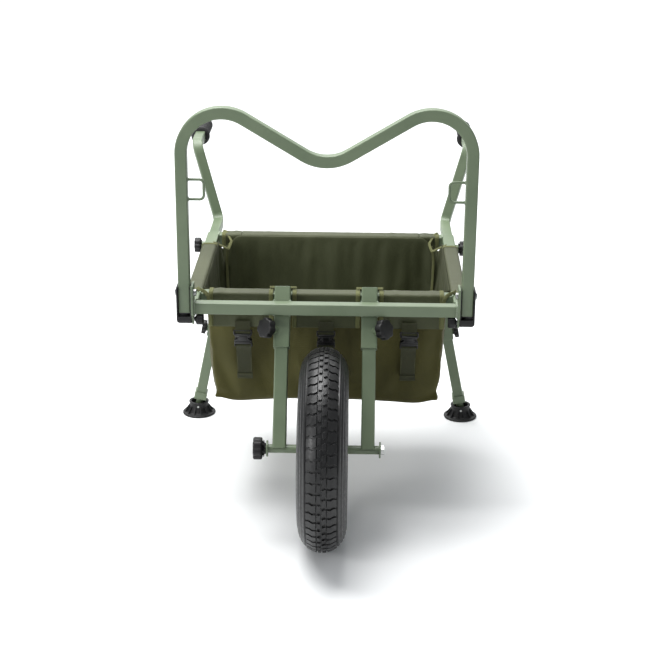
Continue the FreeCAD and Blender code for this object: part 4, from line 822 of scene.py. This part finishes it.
shape = bmesh.new()
for side, sign in SIDES:
    add_ribbon(shape, curve_points([(sign * 0.2290, 0.2060, 0.4455), (sign * 0.2225, 0.1920, 0.4440),
                                    (sign * 0.2120, 0.1700, 0.4330), (sign * 0.2110, 0.1660, 0.4300),
                                    (sign * 0.2150, 0.1520, 0.4215), (sign * 0.2180, 0.1480, 0.4210),
                                    (sign * 0.2360, 0.1300, 0.4360), (sign * 0.2440, 0.1120, 0.4455)], 4),
               (-sign * 0.5, -0.6, 0.75), 0.0065)
    add_ribbon(shape, curve_points([(sign * 0.2150, 0.163, 0.428), (sign * 0.2200, 0.162, 0.400),
                                    (sign * 0.2200, 0.161, 0.360), (sign * 0.2175, 0.156, 0.310)]),
               (-sign * 0.8, -1, 0), 0.008)
    add_ribbon(shape, curve_points([(sign * 0.247, -0.190, 0.4450), (sign * 0.241, -0.199, 0.4440),
                                    (sign * 0.232, -0.205, 0.4425), (sign * 0.223, -0.2125, 0.434),
                                    (sign * 0.221, -0.2125, 0.404), (sign * 0.221, -0.2115, 0.376)]),
               (sign * 0.15, -1, 0.25), 0.009)
cloth_sheet(shape, "corner_tapes", 0.0012, tape)

# ---------------------------------------------------------------- straps and buckles
# Three webbing straps hold the flap down to the sack. Each has a black side-release buckle: a
# socket on the flap's loop, and a plug with two springy prongs on the sewn lower strap.

webbing = woven("webbing", (0.040, 0.044, 0.016), (0.060, 0.064, 0.025), 900.0, 0.8, 0.06, 0.0003)
thread_finish = woven("thread", (0.17, 0.17, 0.07), (0.24, 0.24, 0.11), 1500.0, 0.7, 0.06, 0.0001)
buckle_plastic = moulded("buckle_plastic", (0.005, 0.005, 0.005), 0.36, 500.0, 0.00004)
slope = math.radians(22)
strap_line = Matrix(((1, 0, 0),
                     (0, -math.cos(slope), math.sin(slope)),
                     (0, -math.sin(slope), -math.cos(slope))))
buckle_centres = (("left", -0.159), ("centre", 0.0), ("right", 0.159))


def strap_place(x):
    """A strap's own frame: across, outwards and down, from the flap's lower edge."""
    return Matrix.Translation((x, -0.2106, 0.374)) @ strap_line.to_4x4()


def add_bar(shape, low, high, bevel):
    """A block between two corners with softened edges."""
    low, high = Vector(low), Vector(high)
    made = bmesh.ops.create_cube(shape, size=1)["verts"]
    for vert in made:
        vert.co = Vector([low[k] + (vert.co[k] + 0.5) * (high[k] - low[k]) for k in range(3)])
    edges = list(dict.fromkeys(edge for vert in made for edge in vert.link_edges))
    bmesh.ops.bevel(shape, geom=edges, offset=bevel, affect="EDGES", segments=2, profile=0.5, material=-1)


def add_strap(shape, path, width, thickness):
    """Flat webbing along a path of outward and downward distances."""
    face = None
    for index, (out, down) in enumerate(path):
        before, after = path[max(0, index - 1)], path[min(len(path) - 1, index + 1)]
        run = Vector((after[0] - before[0], after[1] - before[1])).normalized()
        up = Vector((run.y, -run.x)) * thickness / 2
        corners = [Vector((x, out + s * up.x, down + s * up.y))
                   for s, x in ((-1, -width / 2), (-1, width / 2), (1, width / 2), (1, -width / 2))]
        if face is None:
            face = shape.faces.new([shape.verts.new(corner) for corner in corners])
            continue
        made = bmesh.ops.extrude_face_region(shape, geom=[face])["geom"]
        if index > 1:
            bmesh.ops.delete(shape, geom=[face], context="FACES_ONLY")
        face = next(item for item in made if isinstance(item, bmesh.types.BMFace))
        for vert, corner in zip(face.verts, corners):
            vert.co = corner


def join_part(shape, part, turn):
    """Puts a part in its place and adds it to a shape."""
    part.transform(turn)
    mesh = bpy.data.meshes.new("part")
    part.to_mesh(mesh)
    part.free()
    shape.from_mesh(mesh)
    bpy.data.meshes.remove(mesh)


def add_stitches(shape, start, end, out):
    """A row of stitches between two points on a strap's face."""
    start, end = Vector((start[0], out, start[1])), Vector((end[0], out, end[1]))
    run = end - start
    count = max(2, round(run.length / 0.0031))
    turn = run.to_track_quat("Z", "Y").to_matrix().to_4x4()
    for index in range(count):
        spot = start.lerp(end, (index + 0.5) / count)
        made = bmesh.ops.create_uvsphere(shape, u_segments=6, v_segments=4, radius=1,
                                         matrix=Matrix.Translation(spot) @ turn
                                         @ Matrix.Diagonal((0.00035, 0.0003, 0.00115, 1)))["verts"]
        for face in {face for vert in made for face in vert.link_faces}:
            face.material_index = 1


shape = bmesh.new()
for name, x in buckle_centres:
    part = bmesh.new()
    add_strap(part, [(0.0002, -0.016), (0.0009, -0.008), (0.0022, -0.001), (0.0038, 0.005),
                     (0.0052, 0.0088), (0.0060, 0.0100), (0.0048, 0.0106), (0.0030, 0.0085),
                     (0.0004, 0.002), (-0.0008, -0.004)], 0.0290, 0.0013)
    join_part(shape, part, strap_place(x))
bmesh.ops.recalc_face_normals(shape, faces=shape.faces)
flap_straps = as_piece(shape, "webbing_flap_straps", "frame", "webbing", webbing, smooth=40)
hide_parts("flap_straps")

shape = bmesh.new()
for name, x in buckle_centres:
    part = bmesh.new()
    width = 0.0180
    add_bar(part, (-width, 0.0006, 0.011), (width, 0.0088, 0.0298), 0.0022)
    for step in range(1, 12):
        bmesh.ops.bisect_plane(part, geom=part.verts[:] + part.edges[:] + part.faces[:],
                               plane_co=(0, 0, 0.011 + 0.0188 * step / 12), plane_no=(0, 0, 1))
    for vert in part.verts:
        share = (vert.co.z - 0.011) / 0.0188
        waist = math.exp(-((share - 0.52) / 0.24) ** 2)
        vert.co.x *= 1 - 0.42 * waist
        vert.co.y += 0.0006 * math.cos(vert.co.x / width * math.pi / 2)
    for sign in (-1, 1):
        add_bar(part, (min(sign * 0.0152, sign * width), 0.0014, 0.004),
                (max(sign * 0.0152, sign * width), 0.0075, 0.0135), 0.0012)
    add_bar(part, (-0.0165, 0.0012, 0.0040), (0.0165, 0.0050, 0.0064), 0.0010)
    add_bar(part, (-0.0075, 0.0084, 0.0150), (0.0075, 0.0098, 0.0262), 0.0006)
    join_part(shape, part, strap_place(x))
bmesh.ops.recalc_face_normals(shape, faces=shape.faces)
sockets = as_piece(shape, "moulded_buckle_sockets", "frame", "buckle_plastic", buckle_plastic)
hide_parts("buckle_sockets")

for name, x in buckle_centres:
    shape = bmesh.new()
    add_bar(shape, (-0.0174, 0.0010, 0.0304), (0.0174, 0.0080, 0.0372), 0.0018)
    for sign in (-1, 1):
        add_bar(shape, (min(sign * 0.0118, sign * 0.0150), 0.0028, 0.0150),
                (max(sign * 0.0118, sign * 0.0150), 0.0066, 0.0310), 0.0011)
        add_bar(shape, (min(sign * 0.0150, sign * 0.0176), 0.0012, 0.0360),
                (max(sign * 0.0150, sign * 0.0176), 0.0068, 0.0450), 0.0012)
    add_bar(shape, (-0.0012, 0.0034, 0.0185), (0.0012, 0.0060, 0.0310), 0.0006)
    add_bar(shape, (-0.0165, 0.0014, 0.0424), (0.0165, 0.0056, 0.0449), 0.0010)
    shape.transform(strap_place(x))
    bmesh.ops.recalc_face_normals(shape, faces=shape.faces)
    plug = as_piece(shape, f"moulded_plug_{name}", f"buckle_{name}", "buckle_plastic", buckle_plastic)
    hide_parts(f"buckle_plug_{name}")

    shape = bmesh.new()
    path = [(0.0036, 0.0400), (0.0052, 0.0412), (0.0058, 0.0432), (0.0052, 0.0455), (0.0034, 0.0490),
            (0.0022, 0.0560), (0.0016, 0.0700), (0.0012, 0.1000), (0.0010, 0.1330)]
    add_strap(shape, path, 0.0290, 0.0014)
    add_strap(shape, [(0.0024, 0.1180), (0.0028, 0.1195), (0.0026, 0.1250), (0.0024, 0.1328)],
              0.0300, 0.0013)
    face = 0.0034
    for row in (0.1205, 0.1310):
        add_stitches(shape, (-0.0135, row), (0.0135, row), face)
    for column in (-0.0132, 0.0132):
        add_stitches(shape, (column, 0.0560), (column, 0.1150), 0.0021)
    shape.transform(strap_place(x))
    bmesh.ops.recalc_face_normals(shape, faces=shape.faces)
    lower = as_piece(shape, f"webbing_lower_strap_{name}", "frame", "webbing", webbing, thread_finish,
                     smooth=40)
    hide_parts(f"lower_strap_{name}")
    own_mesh(lower)

# ---------------------------------------------------------------- floor
# The ground the cart stands on, plain and pale.

floor_mesh = bmesh.new()
bmesh.ops.create_grid(floor_mesh, x_segments=1, y_segments=1, size=20)
mesh = bpy.data.meshes.new("floor")
floor_mesh.to_mesh(mesh)
floor_mesh.free()
floor = bpy.data.objects.new("floor", mesh)
bpy.context.scene.collection.objects.link(floor)
floor_finish = new_finish("floor_finish", (0.86, 0.87, 0.87), 0.9)
mesh.materials.append(floor_finish)
